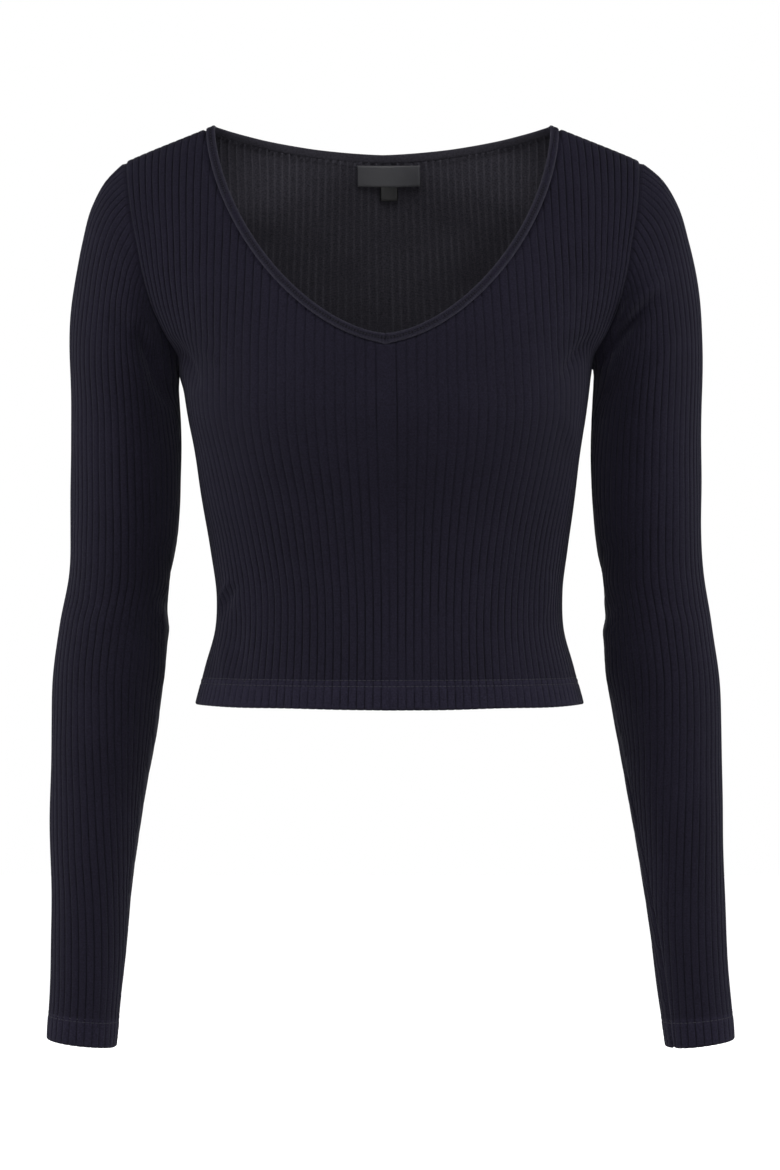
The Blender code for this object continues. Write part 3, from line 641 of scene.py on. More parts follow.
def neck_cut(grid, back, grow):
    """For each column, the row with its fraction at which it enters the opening, or the last row."""
    drop = NECK_POINT_Z - grid[..., 2]
    x = np.abs(grid[..., 0] - sway_at(drop))
    room = np.minimum(opening_drop(x, back, grow) - drop, NECK_HALF_WIDTH + grow - x)
    inside = room > 0
    column = np.arange(grid.shape[1])
    first = inside.argmax(axis=0).clip(1)
    before, after = room[first - 1, column], room[first, column]
    return np.where(inside.any(axis=0), first - before / (after - before), len(grid) - 1.0)


def trim_rows(grid, cut):
    """Moves each point past its column's cut onto the cut, and gives the index of the point that stands
    for each."""
    rows, columns = grid.shape[:2]
    column = np.arange(columns)
    top = np.ceil(cut).astype(int)
    share = (cut - top + 1)[:, None]
    edge = grid[top - 1, column] * (1 - share) + grid[top, column] * share
    past = np.arange(rows)[:, None] >= top
    index = np.where(past, top, np.arange(rows)[:, None]) * columns + column
    return np.where(past[..., None], edge, grid), index


# %% Path of the neckline
HALVINGS = 24                # of a bracket, when a place on the body is looked for
WAIST_ROW = 3                # a place is looked for from here up
STEP = 1e-4                  # for slopes of a surface
HALF_SAMPLES = 90            # points of half a neckline
LOOP_POINTS = 1440           # even points once round the neckline
LINE_SETTLE = 0.0022         # its corners at the shoulders are averaged over this length
POINT_REACH = 0.02           # but not this near the point of the V
BAND_SETTLE = 0.0050         # the band's normals are averaged over this length, so it rolls over smoothly
NEAR_NECK = 0.03             # only points less than this below the V can be near the band
LOOP_STRIDE = 3              # the distance to the band is measured to every third point of the loop
CHUNK = 2000                 # points measured at a time, to save memory


def place_on_body(x, drop, back):
    """The u and v of the body's face at a distance from its middle and a drop, by halving brackets: one
    of v for each u, and one of u round it."""
    low_u, high_u = np.zeros(x.shape), np.ones(x.shape)
    for _ in range(HALVINGS):
        u = (low_u + high_u) / 2
        low_v, high_v = np.full(x.shape, ROW_V[WAIST_ROW]), np.ones(x.shape)
        for _ in range(HALVINGS):
            v = (low_v + high_v) / 2
            above = NECK_POINT_Z - body_point(u, v, back)[..., 2] < drop
            high_v = np.where(above, v, high_v)
            low_v = np.where(above, low_v, v)
        short = body_point(u, v, back)[..., 0] - sway_at(drop) < x
        low_u = np.where(short, u, low_u)
        high_u = np.where(short, high_u, u)
    return u, v


def face_normals(u, v, back):
    """Outward normals of the body's face at scattered places, from its slopes."""
    across = body_point(u + STEP, v, back) - body_point(u - STEP, v, back)
    climb = body_point(u, np.clip(v + STEP, 0, 1), back) - body_point(u, v - STEP, back)
    return unit(np.cross(across, climb) * (-1 if back else 1))


def half_neckline(back, grow):
    """Points and normals of one side of a neckline, from the middle to the shoulder seam."""
    angle = np.linspace(0, np.pi / 2, HALF_SAMPLES)
    x = (NECK_HALF_WIDTH + grow) * np.sin(angle) ** (1 if back else 2 / NECK_FRONT_POWER)
    u, v = place_on_body(x, opening_drop(x, back, grow), back)
    return body_point(u, v, back), face_normals(u, v, back)


def smooth_loop(values, spacing, reach):
    """A closed row of values, each averaged with its neighbours under a bell of that reach."""
    count = len(values)
    offset = np.arange(count)
    weight = bell(np.minimum(offset, count - offset) * spacing, reach)
    spectrum = np.fft.fft(weight / weight.sum())[:, None] * np.fft.fft(values, axis=0)
    return np.fft.ifft(spectrum, axis=0).real


def neck_loop(grow):
    """The neckline once round at an even spacing, from the point of the V and up the side of +X, with
    its normals, the run of its points and its whole length."""
    front_points, front_normals = half_neckline(False, grow)
    back_points, back_normals = half_neckline(True, grow)
    half = np.concatenate([front_points, back_points[-2::-1]])
    lean = np.concatenate([front_normals, back_normals[-2::-1]])
    other = half * (-1, 1, 1) + (2, 0, 0) * sway_at(NECK_POINT_Z - half[:, 2])[:, None]
    loop = np.concatenate([half, other[-2::-1]])
    lean = np.concatenate([lean, (lean * (-1, 1, 1))[-2::-1]])
    run = run_along(loop)
    whole = run[-1]
    even = np.linspace(0, whole, LOOP_POINTS, endpoint=False)
    spacing = whole / LOOP_POINTS
    points = at_runs(even, run, loop)
    near_point = bell(np.minimum(even, whole - even), POINT_REACH)[:, None]
    points = points * near_point + smooth_loop(points, spacing, LINE_SETTLE) * (1 - near_point)
    normals = smooth_loop(at_runs(even, run, lean), spacing, BAND_SETTLE)
    return points, unit(normals), even, whole


neck_points, neck_normals, neck_run, NECK_LENGTH = neck_loop(BINDING_WIDTH / 2)
print(f"the neckline is {NECK_LENGTH:.3f} m round")


def distance_to_neck(points):
    """The distance from each point to the middle of the neck band, for points high enough to matter."""
    distance = np.full(points.shape[:-1], 1.0)
    near = points[..., 2] > NECK_POINT_Z - NECK_FRONT_DROP - NEAR_NECK
    samples = neck_points[::LOOP_STRIDE]
    chunks = np.array_split(points[near], max(1, near.sum() // CHUNK))
    nearest = [np.linalg.norm(chunk[:, None] - samples, axis=-1).min(axis=1) for chunk in chunks]
    distance[near] = np.concatenate(nearest)
    return distance


# %% [markdown]
# ## Shader maths as arithmetic
#
# A procedural material is a sum of small patterns. Wrapping a node's output so that plus, minus and times
# make the nodes keeps the formula readable, and everything else goes through one method.


# %% Socket wrapper
class Value:
    """A node's output on which arithmetic makes Math nodes."""

    def __init__(self, shader, socket):
        self.shader, self.socket = shader, socket

    def maths(self, operation, *others):
        return self.shader.node("ShaderNodeMath", {"operation": operation}, self, *others)

    def __add__(self, other):
        return self.maths("ADD", other)

    def __sub__(self, other):
        return self.maths("SUBTRACT", other)

    def __mul__(self, other):
        return self.maths("MULTIPLY", other)

    def __truediv__(self, other):
        return self.maths("DIVIDE", other)

    def __pow__(self, other):
        return self.maths("POWER", other)

    def __rsub__(self, other):
        return (self * -1.0).maths("ADD", other)

    def __abs__(self):
        return self.maths("ABSOLUTE")

    __radd__, __rmul__ = __add__, __mul__

    def fraction(self):
        return self.maths("FRACT")

    def sine(self):
        return self.maths("SINE")

    def minimum(self, other):
        return self.maths("MINIMUM", other)

    def clamped(self):
        return self.maths("MAXIMUM", 0.0).minimum(1.0)

    def bell(self, half_width):
        """exp of minus the square of the value over the half width."""
        return ((self / half_width) ** 2.0 * -1.0).maths("EXPONENT")


class Shader:
    """A material's node tree, with one method that makes any node: its type, its settings, then its
    inputs in order or by name."""

    def __init__(self, name):
        self.material = bpy.data.materials.new(name)
        self.material.use_nodes = True
        self.tree = self.material.node_tree
        self.surface = self.tree.nodes["Principled BSDF"]

    def node(self, kind, settings=None, *inputs, output=0, **named):
        made = self.tree.nodes.new(kind)
        for key, value in (settings or {}).items():
            setattr(made, key, value)
        for key, value in [*enumerate(inputs), *named.items()]:
            self.feed(made.inputs[key], value)
        return Value(self, made.outputs[output])

    def parts(self, vector):
        """The x, y and z of a vector."""
        made = self.node("ShaderNodeSeparateXYZ", {}, vector).socket.node
        return [Value(self, output) for output in made.outputs]

    def mix(self, share, colour, other):
        """The colour, blended towards the other one by the share."""
        made = self.node("ShaderNodeMix", {"data_type": "RGBA"}, share, output=2)
        for slot, value in ((6, colour), (7, other)):
            self.feed(made.socket.node.inputs[slot], value if isinstance(value, Value) else (*value, 1.0))
        return made

    def feed(self, socket, value):
        if isinstance(value, Value):
            self.tree.links.new(value.socket, socket)
        else:
            socket.default_value = value

    def finish(self, **inputs):
        """Feeds the Principled surface, with spaces for the underscores in the names."""
        for key, value in inputs.items():
            self.feed(self.surface.inputs[key.replace("_", " ")], value)
        return self.material


# %% [markdown]
# ## The rib knit
#
# Seen close, a rib is a few columns of stitches, each a pair of legs that lean together like a V. The
# pattern comes from the knit's own coordinates: across counts the ribs, and along is a length, so it
# follows every rib over the body. The yarn is a very dark navy. Light from the side catches the hairs on
# it, which is what sheen is for, and it's almost without gloss.

# %% Knit sizes and colours
WALES = 5.0                  # columns of stitches in a rib
BAND_WALES = 3.0             # and in each fifth of the way round the band
COURSE = 0.00105             # height of a stitch
STITCH_LEAN = 0.42           # how far a leg climbs towards the side of its column, in stitches
LEG_RELIEF = 0.00022         # how far a leg stands out
RIB_BUMP, BAND_BUMP = 0.55, 0.45             # and how much of that shows
FURROW_LINE = 0.085          # half width of the painted shade in a furrow, in ribs
INSIDE_SPREAD = 2.2          # the painted highlight of a ridge is wider on the inside, where a rib is softer
PATCHY_PAINT_GAIN, PATCHY_PAINT_START = 3.0, 0.75            # the painted shade comes and goes with a noise
SLACK_GAIN, SLACK_START = 1.3, 0.5           # and is lost where the knit is stretched
HEM_PAINTED_LIGHT = 0.42              # painted light: a turned-up edge, which is stretched less, is made this much lighter
LIFT_PAST = 0.0015           # up to so far past the turning
LIFT_STEEPNESS = 600.0
# The yarn's tone is a sum of these shares of the patterns, less a little.
STITCH_TONE, CLOUD_TONE, FLECK_TONE, LESS_TONE = 0.24, 0.34, 1.50, 0.08
CLOUD = {"Scale": 14.0, "Detail": 3.0}       # slow unevenness of the dye
# the noise that makes the furrows' painted shade patchy
PATCHY_PAINT = {"Scale": 38.0, "Detail": 3.0}
FLECK = {"Scale": 900.0, "Detail": 2.0}      # hairs and flecks
NAVY = (0.0088, 0.0078, 0.0150)
# painted shade in the furrows, darkest where the knit is loose
FURROW_PAINTED_SHADE = (0.0019, 0.0017, 0.0034)
NAVY_INSIDE_PAINTED_LIGHT = (0.0258, 0.0245, 0.0314)       # the inner side is hairier and greyer, and partly painted light makes it lighter
RIDGE_PAINTED_HIGHLIGHT = (0.0455, 0.0438, 0.0540)        # painted highlight where a furrow stands out as a ridge on it
NAVY_BAND = (0.0122, 0.0112, 0.0186)
BAND_ROLL_HIGHLIGHT = (0.0245, 0.0231, 0.0335)         # painted highlight on the rolled edges of the band

# The band's coordinate counts fifths of the way round its section, from its outer edge.
BAND_ROUND = 5
BAND_MIDDLE = BAND_ROUND / 4                 # the middle of the face that shows
ROLL_MIDDLE, ROLL_REACH = 0.90, 0.34         # the painted highlight on each roll, from the middle
LINE_REACH = 0.20                            # the stitched line along the middle
LINE_PITCH = 0.0021
LINE_DOTS, LINE_SHADE = 0.4, 0.5
BEHIND_FROM, BEHIND_STEEPNESS = 0.01, 50.0   # y from which the band, behind the neck, is painted lighter
FORWARD_GAIN = 3.0


# %% Knit materials
def knit_pattern(shader, wales):
    """The knit's two coordinates, the place in space, and the stitches: a rounded leg on each side of a
    column of stitches."""
    across, along, _ = shader.parts(shader.node("ShaderNodeUVMap", {"uv_map": "knit"}))
    wale = (across * wales).fraction()
    from_middle = abs(wale - 0.5) * 2.0
    leg = (along * (1.0 / COURSE) - from_middle * STITCH_LEAN).fraction()
    stitch = (leg * math.pi).sine() * (from_middle * math.pi).sine().maths("SQRT")
    return across, along, shader.node("ShaderNodeTexCoord", output="Object"), stitch


def finish_knit(shader, navy, place, stitch, painted_light_and_line, bump):
    """Base colour: the navy times its tone, which the stitches, slow clouds and flecks vary by a few per
    cent, and times one plus a painted light on a hem, and on the band its stitched line. Height: the
    stitches. The hairs are a little sheen."""
    cloud = shader.node("ShaderNodeTexNoise", {}, place, **CLOUD)
    fleck = shader.node("ShaderNodeTexNoise", {}, place, **FLECK)
    tone = stitch * STITCH_TONE + cloud * CLOUD_TONE + fleck * FLECK_TONE - LESS_TONE
    tinted = shader.node("ShaderNodeVectorMath", {"operation": "SCALE"}, navy, Scale=tone * (painted_light_and_line + 1.0))
    height = shader.node("ShaderNodeBump", {}, Strength=bump, Distance=LEG_RELIEF, Height=stitch)
    return shader.finish(
        Base_Color=tinted,
        Roughness=0.88,
        Specular_IOR_Level=0.06,
        Sheen_Weight=0.04,
        Sheen_Roughness=0.45,
        Sheen_Tint=(0.80, 0.82, 1.0, 1.0),
        Normal=height,
    )


def rib_material(name):
    """Outside, a furrow has painted shade, deepest where the knit is loose. Inside, the colour is greyer
    and, partly as painted light, lighter, and a furrow, which is a ridge there, has a painted highlight.
    The turned-up edges get painted light."""
    shader = Shader(name)
    across, along, place, stitch = knit_pattern(shader, WALES)
    phase = across.fraction()
    aside = phase.minimum(1.0 - phase)
    # A noise and the slack decide where the furrows show painted shade outside and a painted highlight
    # inside.
    patchy_paint = shader.node("ShaderNodeTexNoise", {}, place, **PATCHY_PAINT)
    slack = shader.node("ShaderNodeAttribute", {"attribute_name": "slack"}, output=2)
    loose = (patchy_paint * PATCHY_PAINT_GAIN - PATCHY_PAINT_START).clamped() * (slack * SLACK_GAIN - SLACK_START).clamped()
    outer = shader.mix(aside.bell(FURROW_LINE) * loose, NAVY, FURROW_PAINTED_SHADE)
    inner = shader.mix(aside.bell(FURROW_LINE * INSIDE_SPREAD) * loose, NAVY_INSIDE_PAINTED_LIGHT, RIDGE_PAINTED_HIGHLIGHT)
    # On the inner side the colours are lighter, partly as painted light.
    behind = shader.node("ShaderNodeNewGeometry", output="Backfacing")
    # painted light on the turned-up hem and cuffs
    hem_painted_light = ((HEM_DEPTH + LIFT_PAST - abs(along)) * LIFT_STEEPNESS).clamped()
    navy = shader.mix(behind, outer, inner)
    return finish_knit(shader, navy, place, stitch, hem_painted_light * HEM_PAINTED_LIGHT, RIB_BUMP)


def band_material(name):
    """A bound strip has a painted highlight on each rolled edge and a dotted dark line along its middle.
    Where it faces forward behind the neck it is given the inner side's lighter colours, as painted light."""
    shader = Shader(name)
    across, along, place, stitch = knit_pattern(shader, BAND_WALES)
    from_line = abs(across - BAND_MIDDLE)
    # painted highlight along each rolled edge
    roll = (from_line - ROLL_MIDDLE).bell(ROLL_REACH)
    outer = shader.mix(roll, NAVY_BAND, BAND_ROLL_HIGHLIGHT)
    inner = shader.mix(roll, NAVY_INSIDE_PAINTED_LIGHT, RIDGE_PAINTED_HIGHLIGHT)
    # Painted light: where the band faces forward behind the neck, it is given the lighter colours of the
    # inner side.
    depth = shader.parts(place)[1]
    forward = shader.parts(shader.node("ShaderNodeNewGeometry", output="Normal"))[1]
    behind = ((depth - BEHIND_FROM) * BEHIND_STEEPNESS).clamped() * (forward * -FORWARD_GAIN).clamped()
    dots = (along * (math.tau / LINE_PITCH)).sine() * LINE_DOTS - LINE_SHADE
    navy = shader.mix(behind, outer, inner)
    return finish_knit(shader, navy, place, stitch, from_line.bell(LINE_REACH) * dots, BAND_BUMP)


rib_knit = rib_material("rib_knit")
band_knit = band_material("binding_knit")

# %% [markdown]
# ## The front and the back
#
# Both panels are one function, since only the tables and the neckline differ. The ribs' relief is added
# along the normals and dies out in the seams, then the seams are drawn in, the hem is folded and the
# neckline is cut.

# %% Seams of body and sleeves
ARMHOLE_MIDDLE = np.array((0.130, 0.002, NECK_POINT_Z - 0.100))      # where an armhole seam is drawn to
SEAM_FADE = 0.0022           # the ribs die out over this length before a seam
TOP_FADE = 0.0065            # and over this one before a shoulder seam, which is taped flat
SIDE_CALM = 0.006            # creases and waves die out over this length before a side seam
SLEEVE_CALM = 0.010          # and over this one before the sleeve's armhole seam
CORNER_FADE = 0.003          # one seam's pull ends over this length before another seam
WAVE_HEIGHT = 0.0006         # slow unevenness of the hanging cloth
WAVES = np.array(((41, 23, 17), (-29, 37, 31), (13, -31, 53))) * 1.7         # radians in a metre
WAVE_LAG = 2.1               # radians from one wave to the next
WAVE_PHASES = {"front": 1.0, "back": 4.0, "sleeve_right": 2.0, "sleeve_left": 7.0}


def towards_armhole_middle(points, side):
    """Unit vectors from points of an armhole seam to the middle of the shoulder joint."""
    mirror = np.stack(np.broadcast_arrays(side, 1, 1), axis=-1)
    return unit(ARMHOLE_MIDDLE * mirror - points)


def slow_waves(points, phase):
    """A sum of three slow sine waves over the place in space."""
    phases = points @ WAVES.T + np.arange(len(WAVES)) * WAVE_LAG + phase
    return WAVE_HEIGHT * np.sin(phases).sum(axis=-1) / len(WAVES)


def sheet_rows(base, normal, upward, relief, height, pull, way):
    """All rows of a sheet, from inside its folded edge to the allowance behind its last seam, which is
    turned along the way given: points, normals that vote for the outer side, runs, and the row of the
    outer face that each is made from."""
    points, source, outer, run = folded_sheet(base, normal, upward, relief, height)
    points = points + pull[source]
    points = np.concatenate([points, points[-1:] + way * ALLOWANCE[:, None, None]])
    source = np.append(source, [source[-1]] * len(ALLOWANCE))
    outer = np.append(outer, [False] * len(ALLOWANCE))
    return points, normal[source] * outer[:, None, None], np.append(run, height[-1] + ALLOWANCE), source


# %% Panels
PANEL_STEPS = (0.0010, 0.0026)               # heights of the rows, at the hem and above it
CUT_RIBS = 0.8               # ribs that end in the lower part of an armhole
CUT_REACH = 0.12             # in v
EASE_REACH = 0.014           # the underarm's bend is spread over this length
EASE_MIDDLE = 0.02           # the easing is strongest this much of v above the underarm
EASE_SPAN = 0.09             # and dies out over this much of v up and down
EASE_MARGIN = 0.016          # and over this length before a side seam
EDGE_MARGIN = 0.06           # normals are kept this share of a rib away from the panel's edge
BLEND_SPAN = 0.04            # v below the underarm over which the seams' direction changes
BAND_LIP = 0.0003            # the neck seam is this far outside the band's edge
BAND_DENT = 0.0017           # and draws the panel in by so much
BAND_REACH = 0.0012


def edge_ribs(ribs, v):
    """The number of ribs from the centre line to the panel's edge: the armhole cuts off the outer ones."""
    return ribs - CUT_RIBS * smooth_step(UNDERARM_V, UNDERARM_V + CUT_REACH, v)


def distance_to_sides(grid):
    """The length along each row from a point to the nearer of the row's two ends."""
    across = run_along(grid)
    return np.minimum(across, across[:, -1:] - across)


def ease_underarm(grid, v, height):
    """Where the side seam ends and the armhole starts, cloth bends softly: near that height a point moves
    to the mean of its column, weighted by a bell of the distance, and less so near the sides."""
    weight = bell(height[:, None] - height[None, :], EASE_REACH)
    mean = np.tensordot(weight / weight.sum(axis=1, keepdims=True), grid, axes=1)
    near = bell(v - UNDERARM_V - EASE_MIDDLE, EASE_SPAN)[:, None]
    share = near * (1 - bell(distance_to_sides(grid), EASE_MARGIN))
    return grid + (mean - grid) * share[..., None]


def steady_normals(grid, inside, back):
    """The normals of a grid. Columns that aren't inside the panel take those of the row's first or last
    column that is."""
    column = np.arange(grid.shape[1])[None, :]
    low, high = inside.argmax(axis=1)[:, None], np.where(inside, column, 0).max(axis=1)[:, None]
    return np.take_along_axis(grid_normals(grid, back), np.clip(column, low, high)[..., None], 1)


def panel_pull(base, v, rib, to_side, to_top):
    """How far and which way the seams draw each point: level at a side seam, towards the middle of the
    shoulder joint at an armhole, and down at a shoulder seam."""
    side = np.where(rib < 0, -1, 1)[None, :]
    level = np.zeros(base.shape)
    level[..., 0] = -side
    edge = np.where(side[..., None] < 0, base[:, :1], base[:, -1:])
    blend = smooth_step(UNDERARM_V - BLEND_SPAN, UNDERARM_V, v)[:, None, None]
    inward = level * (1 - blend) + towards_armhole_middle(edge, side) * blend
    pull = inward * seam_pull(to_side)[..., None]
    pull[..., 2] -= seam_pull(to_top) * (1 - bell(to_side, CORNER_FADE))
    return pull


def make_panel(name, back):
    """One panel, from its folded hem up to the neckline and the shoulder seams. Beside the piece come
    the smooth face under its ribs, its normals and the heights of its rows."""
    height = row_plan(*PANEL_STEPS, EDGE_LENGTH)
    v = height / EDGE_LENGTH
    kind, ribs = ("back", BACK_RIBS) if back else ("front", FRONT_RIBS)
    rib = rib_columns(ribs)
    most = edge_ribs(ribs, v)[:, None]
    here = np.clip(rib, -most, most)
    base = ease_underarm(body_grid(here / most, v, back), v, height)
    normal = steady_normals(base, np.abs(rib)[None, :] < most - EDGE_MARGIN, back)
    upward = unit(np.gradient(base, axis=0))

    to_side = distance_to_sides(base)
    to_top = EDGE_LENGTH - height[:, None] + np.zeros_like(to_side)
    slack = slack_of(pitch_of(base, rib))
    relief = rib_relief(here, slack) * (1 - bell(to_side, SEAM_FADE)) * (1 - bell(to_top, TOP_FADE))
    relief = relief * hem_calm(height, BODY_STITCHES[0])[:, None]
    relief = relief + edge_relief(height, BODY_STITCHES)[:, None]
    bulk = crease_relief(kind, base, normal) + slow_waves(base, WAVE_PHASES[kind])
    bulk = bulk * (1 - bell(to_side, SIDE_CALM))
    to_band = distance_to_neck(base) - BINDING_WIDTH / 2 - BAND_LIP
    relief = relief + bulk - BAND_DENT * bell(to_band, BAND_REACH)

    pull = panel_pull(base, v, rib, to_side, to_top)
    down = np.array((0, 0, -1.0))
    points, votes, run, source = sheet_rows(base, normal, upward, relief, height, pull, down)
    cut = neck_cut(base, back, BINDING_WIDTH / 2)
    below = len(points) - len(base) - len(ALLOWANCE)
    cut = np.where(cut >= len(base) - 1, len(points) - 1, cut + below)
    points, index = trim_rows(points, cut)
    past_high, past_low = (rib >= most)[source], (rib <= -most)[source]
    row = np.arange(len(points))[:, None] * len(rib)
    index = np.where(past_high, row + past_high.argmax(axis=1)[:, None], index)
    index = np.where(past_low, row + past_low.sum(axis=1)[:, None] - 1, index)
    uv = np.stack(np.broadcast_arrays(here[source], run[:, None]), axis=-1)
    piece = knit_mesh(name, points, uv, rib_knit, index, votes, slack[source])
    return piece, (base + normal * bulk[..., None] + pull, normal, height)


front, front_face = make_panel("front_knit", False)
back, back_face = make_panel("back_knit", True)

# %% [markdown]
# ## The sleeves
#
# A sleeve narrows from the upper arm to the cuff, and the knit isn't narrowed, it's cut: the ribs on the
# outside of the arm run all the way down, and those near the underarm seam run into it one after
# another. So columns keep their distance from the outer line, and where a column would pass the seam it
# stops on it. On the wearer's left arm the seam has turned a little to the front at the cuff.

# %% Sleeve columns
SLEEVE_STEPS = (0.0011, 0.0030)              # heights of the rows, at the cuff and above it
SEAM_TURN = {"sleeve_left": 0.015, "sleeve_right": 0.10}     # share of a round that the seam has turned
TURN_SPAN = (0.45, 0.95)     # between these shares of the sleeve's length
LEAST_SPREAD = 0.45          # ribs fill at least this share of a ring's own length
UNDERARM_DIP = 0.8           # the seam under the arm dips this share of what others do
ROUND = np.linspace(-0.62, 0.52, 286)        # f of the samples, past the seam on both sides
LINE_SAMPLES = 320           # points of the outer line
CAP_SHARE = 0.22             # above this share of the line, the oval is the one that it has there
OVAL_SHAPES = np.linspace(0.7, 1.9, 13)      # depth over half width
OVAL_SAMPLES = 241
ON_SEAM = 1e-6               # in ribs


def near_ellipse_arc(chord, half_width, depth):
    """The length round an ellipse from the end of its half width to the place at a straight distance
    from that end. It is read from a table over the ellipse's shape and the angle."""
    angle = np.linspace(0, np.pi, OVAL_SAMPLES)
    oval = np.broadcast_arrays(1 - np.cos(angle), OVAL_SHAPES[:, None] * np.sin(angle))
    straight = np.maximum.accumulate(np.hypot(*oval), axis=1)
    around = run_along(np.stack(oval, axis=-1))
    each = np.stack([np.interp(chord / half_width, *table) for table in zip(straight, around)], axis=-1)
    place = (depth / half_width - OVAL_SHAPES[0]) / (OVAL_SHAPES[1] - OVAL_SHAPES[0])
    place = np.clip(place, 0, len(OVAL_SHAPES) - 1.001)
    low = place.astype(int)
    part = place - low
    start, stop = (np.take_along_axis(each, (low + i)[..., None], -1)[..., 0] for i in (0, 1))
    return half_width * (start * (1 - part) + stop * part)


def sleeve_arcs(f, t, side):
    """How far round the sleeve a point is from the outer line, with the sign of f: its straight distance
    to that line, as a length round the oval that the arm has there."""
    line_t = np.linspace(0, 1, LINE_SAMPLES)
    outer, inner = (sleeve_point(at, line_t, side) for at in (0.0, 0.5))
    width = np.array([np.linalg.norm(inner - place, axis=1).min() for place in outer]) / 2
    depth = curve_through(SLEEVE_T, SLEEVE_STATIONS, line_t)[:, 5]
    first = int(CAP_SHARE * LINE_SAMPLES)
    width[:first], depth[:first] = width[first], depth[first]
    folded = np.where(np.abs(f) > 0.5, 1 - np.abs(f), np.abs(f)) * np.sign(f)
    arcs = []
    for row in sleeve_point(folded, t, side):
        distance = np.linalg.norm(row[:, None] - outer, axis=-1)
        nearest = distance.argmin(axis=1)
        arcs.append(near_ellipse_arc(distance.min(axis=1), width[nearest], depth[nearest]))
    arc = np.array(arcs)
    at_seam = arc[:, np.abs(np.abs(f) - 0.5).argmin(), None]
    return np.where(np.abs(f) > 0.5, 2 * at_seam - arc, arc) * np.sign(f)


def sleeve_columns(name, t, rib, side):
    """Where round the sleeve each column lies, row by row, the rib coordinates of the seam under the arm
    as met from either way, and the width of a rib. Columns keep their distance from the outer line, and
    one that would pass the seam stops on it."""
    turn = SEAM_TURN[name] * smooth_step(*TURN_SPAN, t)
    arc = sleeve_arcs(ROUND[None, :], t[:, None], side)
    ring = np.linalg.norm(np.diff(sleeve_point(ROUND, t[:, None], side), axis=1), axis=-1)
    steps = np.maximum(np.diff(arc, axis=1), ring * LEAST_SPREAD)
    ribs = np.concatenate([0 * t[:, None], steps.cumsum(axis=1)], axis=1)
    ribs -= ribs[:, np.abs(ROUND).argmin(), None]
    whole = ribs[:, np.abs(ROUND - 0.5).argmin()].max()
    ribs *= SLEEVE_RIBS / whole
    print(f"{name}: ribs {whole / SLEEVE_RIBS * 1000:.2f} mm wide")
    f = np.array([np.interp(rib, row, ROUND) for row in ribs])
    high = np.array([np.interp(0.5 - a, ROUND, row) for a, row in zip(turn, ribs)])[:, None]
    low = np.array([np.interp(-0.5 - a, ROUND, row) for a, row in zip(turn, ribs)])[:, None]
    return np.clip(f, (-0.5 - turn)[:, None], (0.5 - turn)[:, None]), low, high, whole / SLEEVE_RIBS


def sleeve_normals(f, t, side):
    """Outward unit normals from the slopes of the surface along f and t, and unit vectors up it."""
    around = sleeve_point(f + STEP, t, side) - sleeve_point(f - STEP, t, side)
    low, high = np.clip(t - STEP, 0, 1), np.clip(t + STEP, 0, 1)
    down = sleeve_point(f, high, side) - sleeve_point(f, low, side)
    return unit(np.cross(around, down) * side), unit(-down)


# %% Sleeves
def make_sleeve(name, side):
    """One sleeve, from its folded cuff up to the armhole. Beside the piece come the smooth face under
    its ribs, its normals and the heights of its rows."""
    height = row_plan(*SLEEVE_STEPS, SLEEVE_LENGTH)
    t = 1 - height / SLEEVE_LENGTH
    rib = rib_columns(SLEEVE_RIBS)
    f, low, high, pitch = sleeve_columns(name, t, rib, side)
    base = sleeve_point(f, t[:, None], side)
    normal, upward = sleeve_normals(f, t[:, None], side)
    normal *= np.sign((normal * (base - base.mean(axis=1, keepdims=True))).sum())

    here = np.clip(rib, low, high)
    around = pitch * np.minimum(high - here, here - low)
    to_top = np.linalg.norm(base - base[-1], axis=-1)
    relief = rib_relief(here, 1.0) * (1 - bell(around, SEAM_FADE)) * (1 - bell(to_top, SEAM_FADE))
    relief = relief * hem_calm(height, CUFF_STITCHES[0])[:, None]
    relief = relief + edge_relief(height, CUFF_STITCHES)[:, None]
    bulk = crease_relief(name, base, normal) + slow_waves(base, WAVE_PHASES[name])
    bulk = bulk * (1 - bell(to_top, SLEEVE_CALM))
    relief = relief + bulk - seam_pull(around) * UNDERARM_DIP * (1 - bell(to_top, CORNER_FADE))
    inward = towards_armhole_middle(base[-1:], side)
    pull = inward * seam_pull(to_top)[..., None]

    points, votes, run, source = sheet_rows(base, normal, upward, relief, height, pull, inward)
    past_high, past_low = (rib >= high - ON_SEAM)[source], (rib <= low + ON_SEAM)[source]
    row = np.arange(len(points))[:, None] * len(rib)
    seam = row + past_high.argmax(axis=1)[:, None]
    index = np.where(past_high | past_low, seam, row + np.arange(len(rib)))
    uv = np.stack(np.broadcast_arrays(here[source], run[:, None]), axis=-1)
    piece = knit_mesh(name + "_knit", points, uv, rib_knit, index, votes)
    return piece, (base + normal * bulk[..., None] + pull, normal, height)


sleeve_left, sleeve_left_face = make_sleeve("sleeve_left", -1)
sleeve_right, sleeve_right_face = make_sleeve("sleeve_right", 1)

# %% [markdown]
# ## The neck band
#
# The neckline is bound with a strip of the same knit, folded over the raw edge and stitched down the
# middle, so it has two soft rolls with a shallow channel between. Its two ends meet in a mitre at the
# point of the V. A flattened section is carried along the neckline, with its flat side along the body.

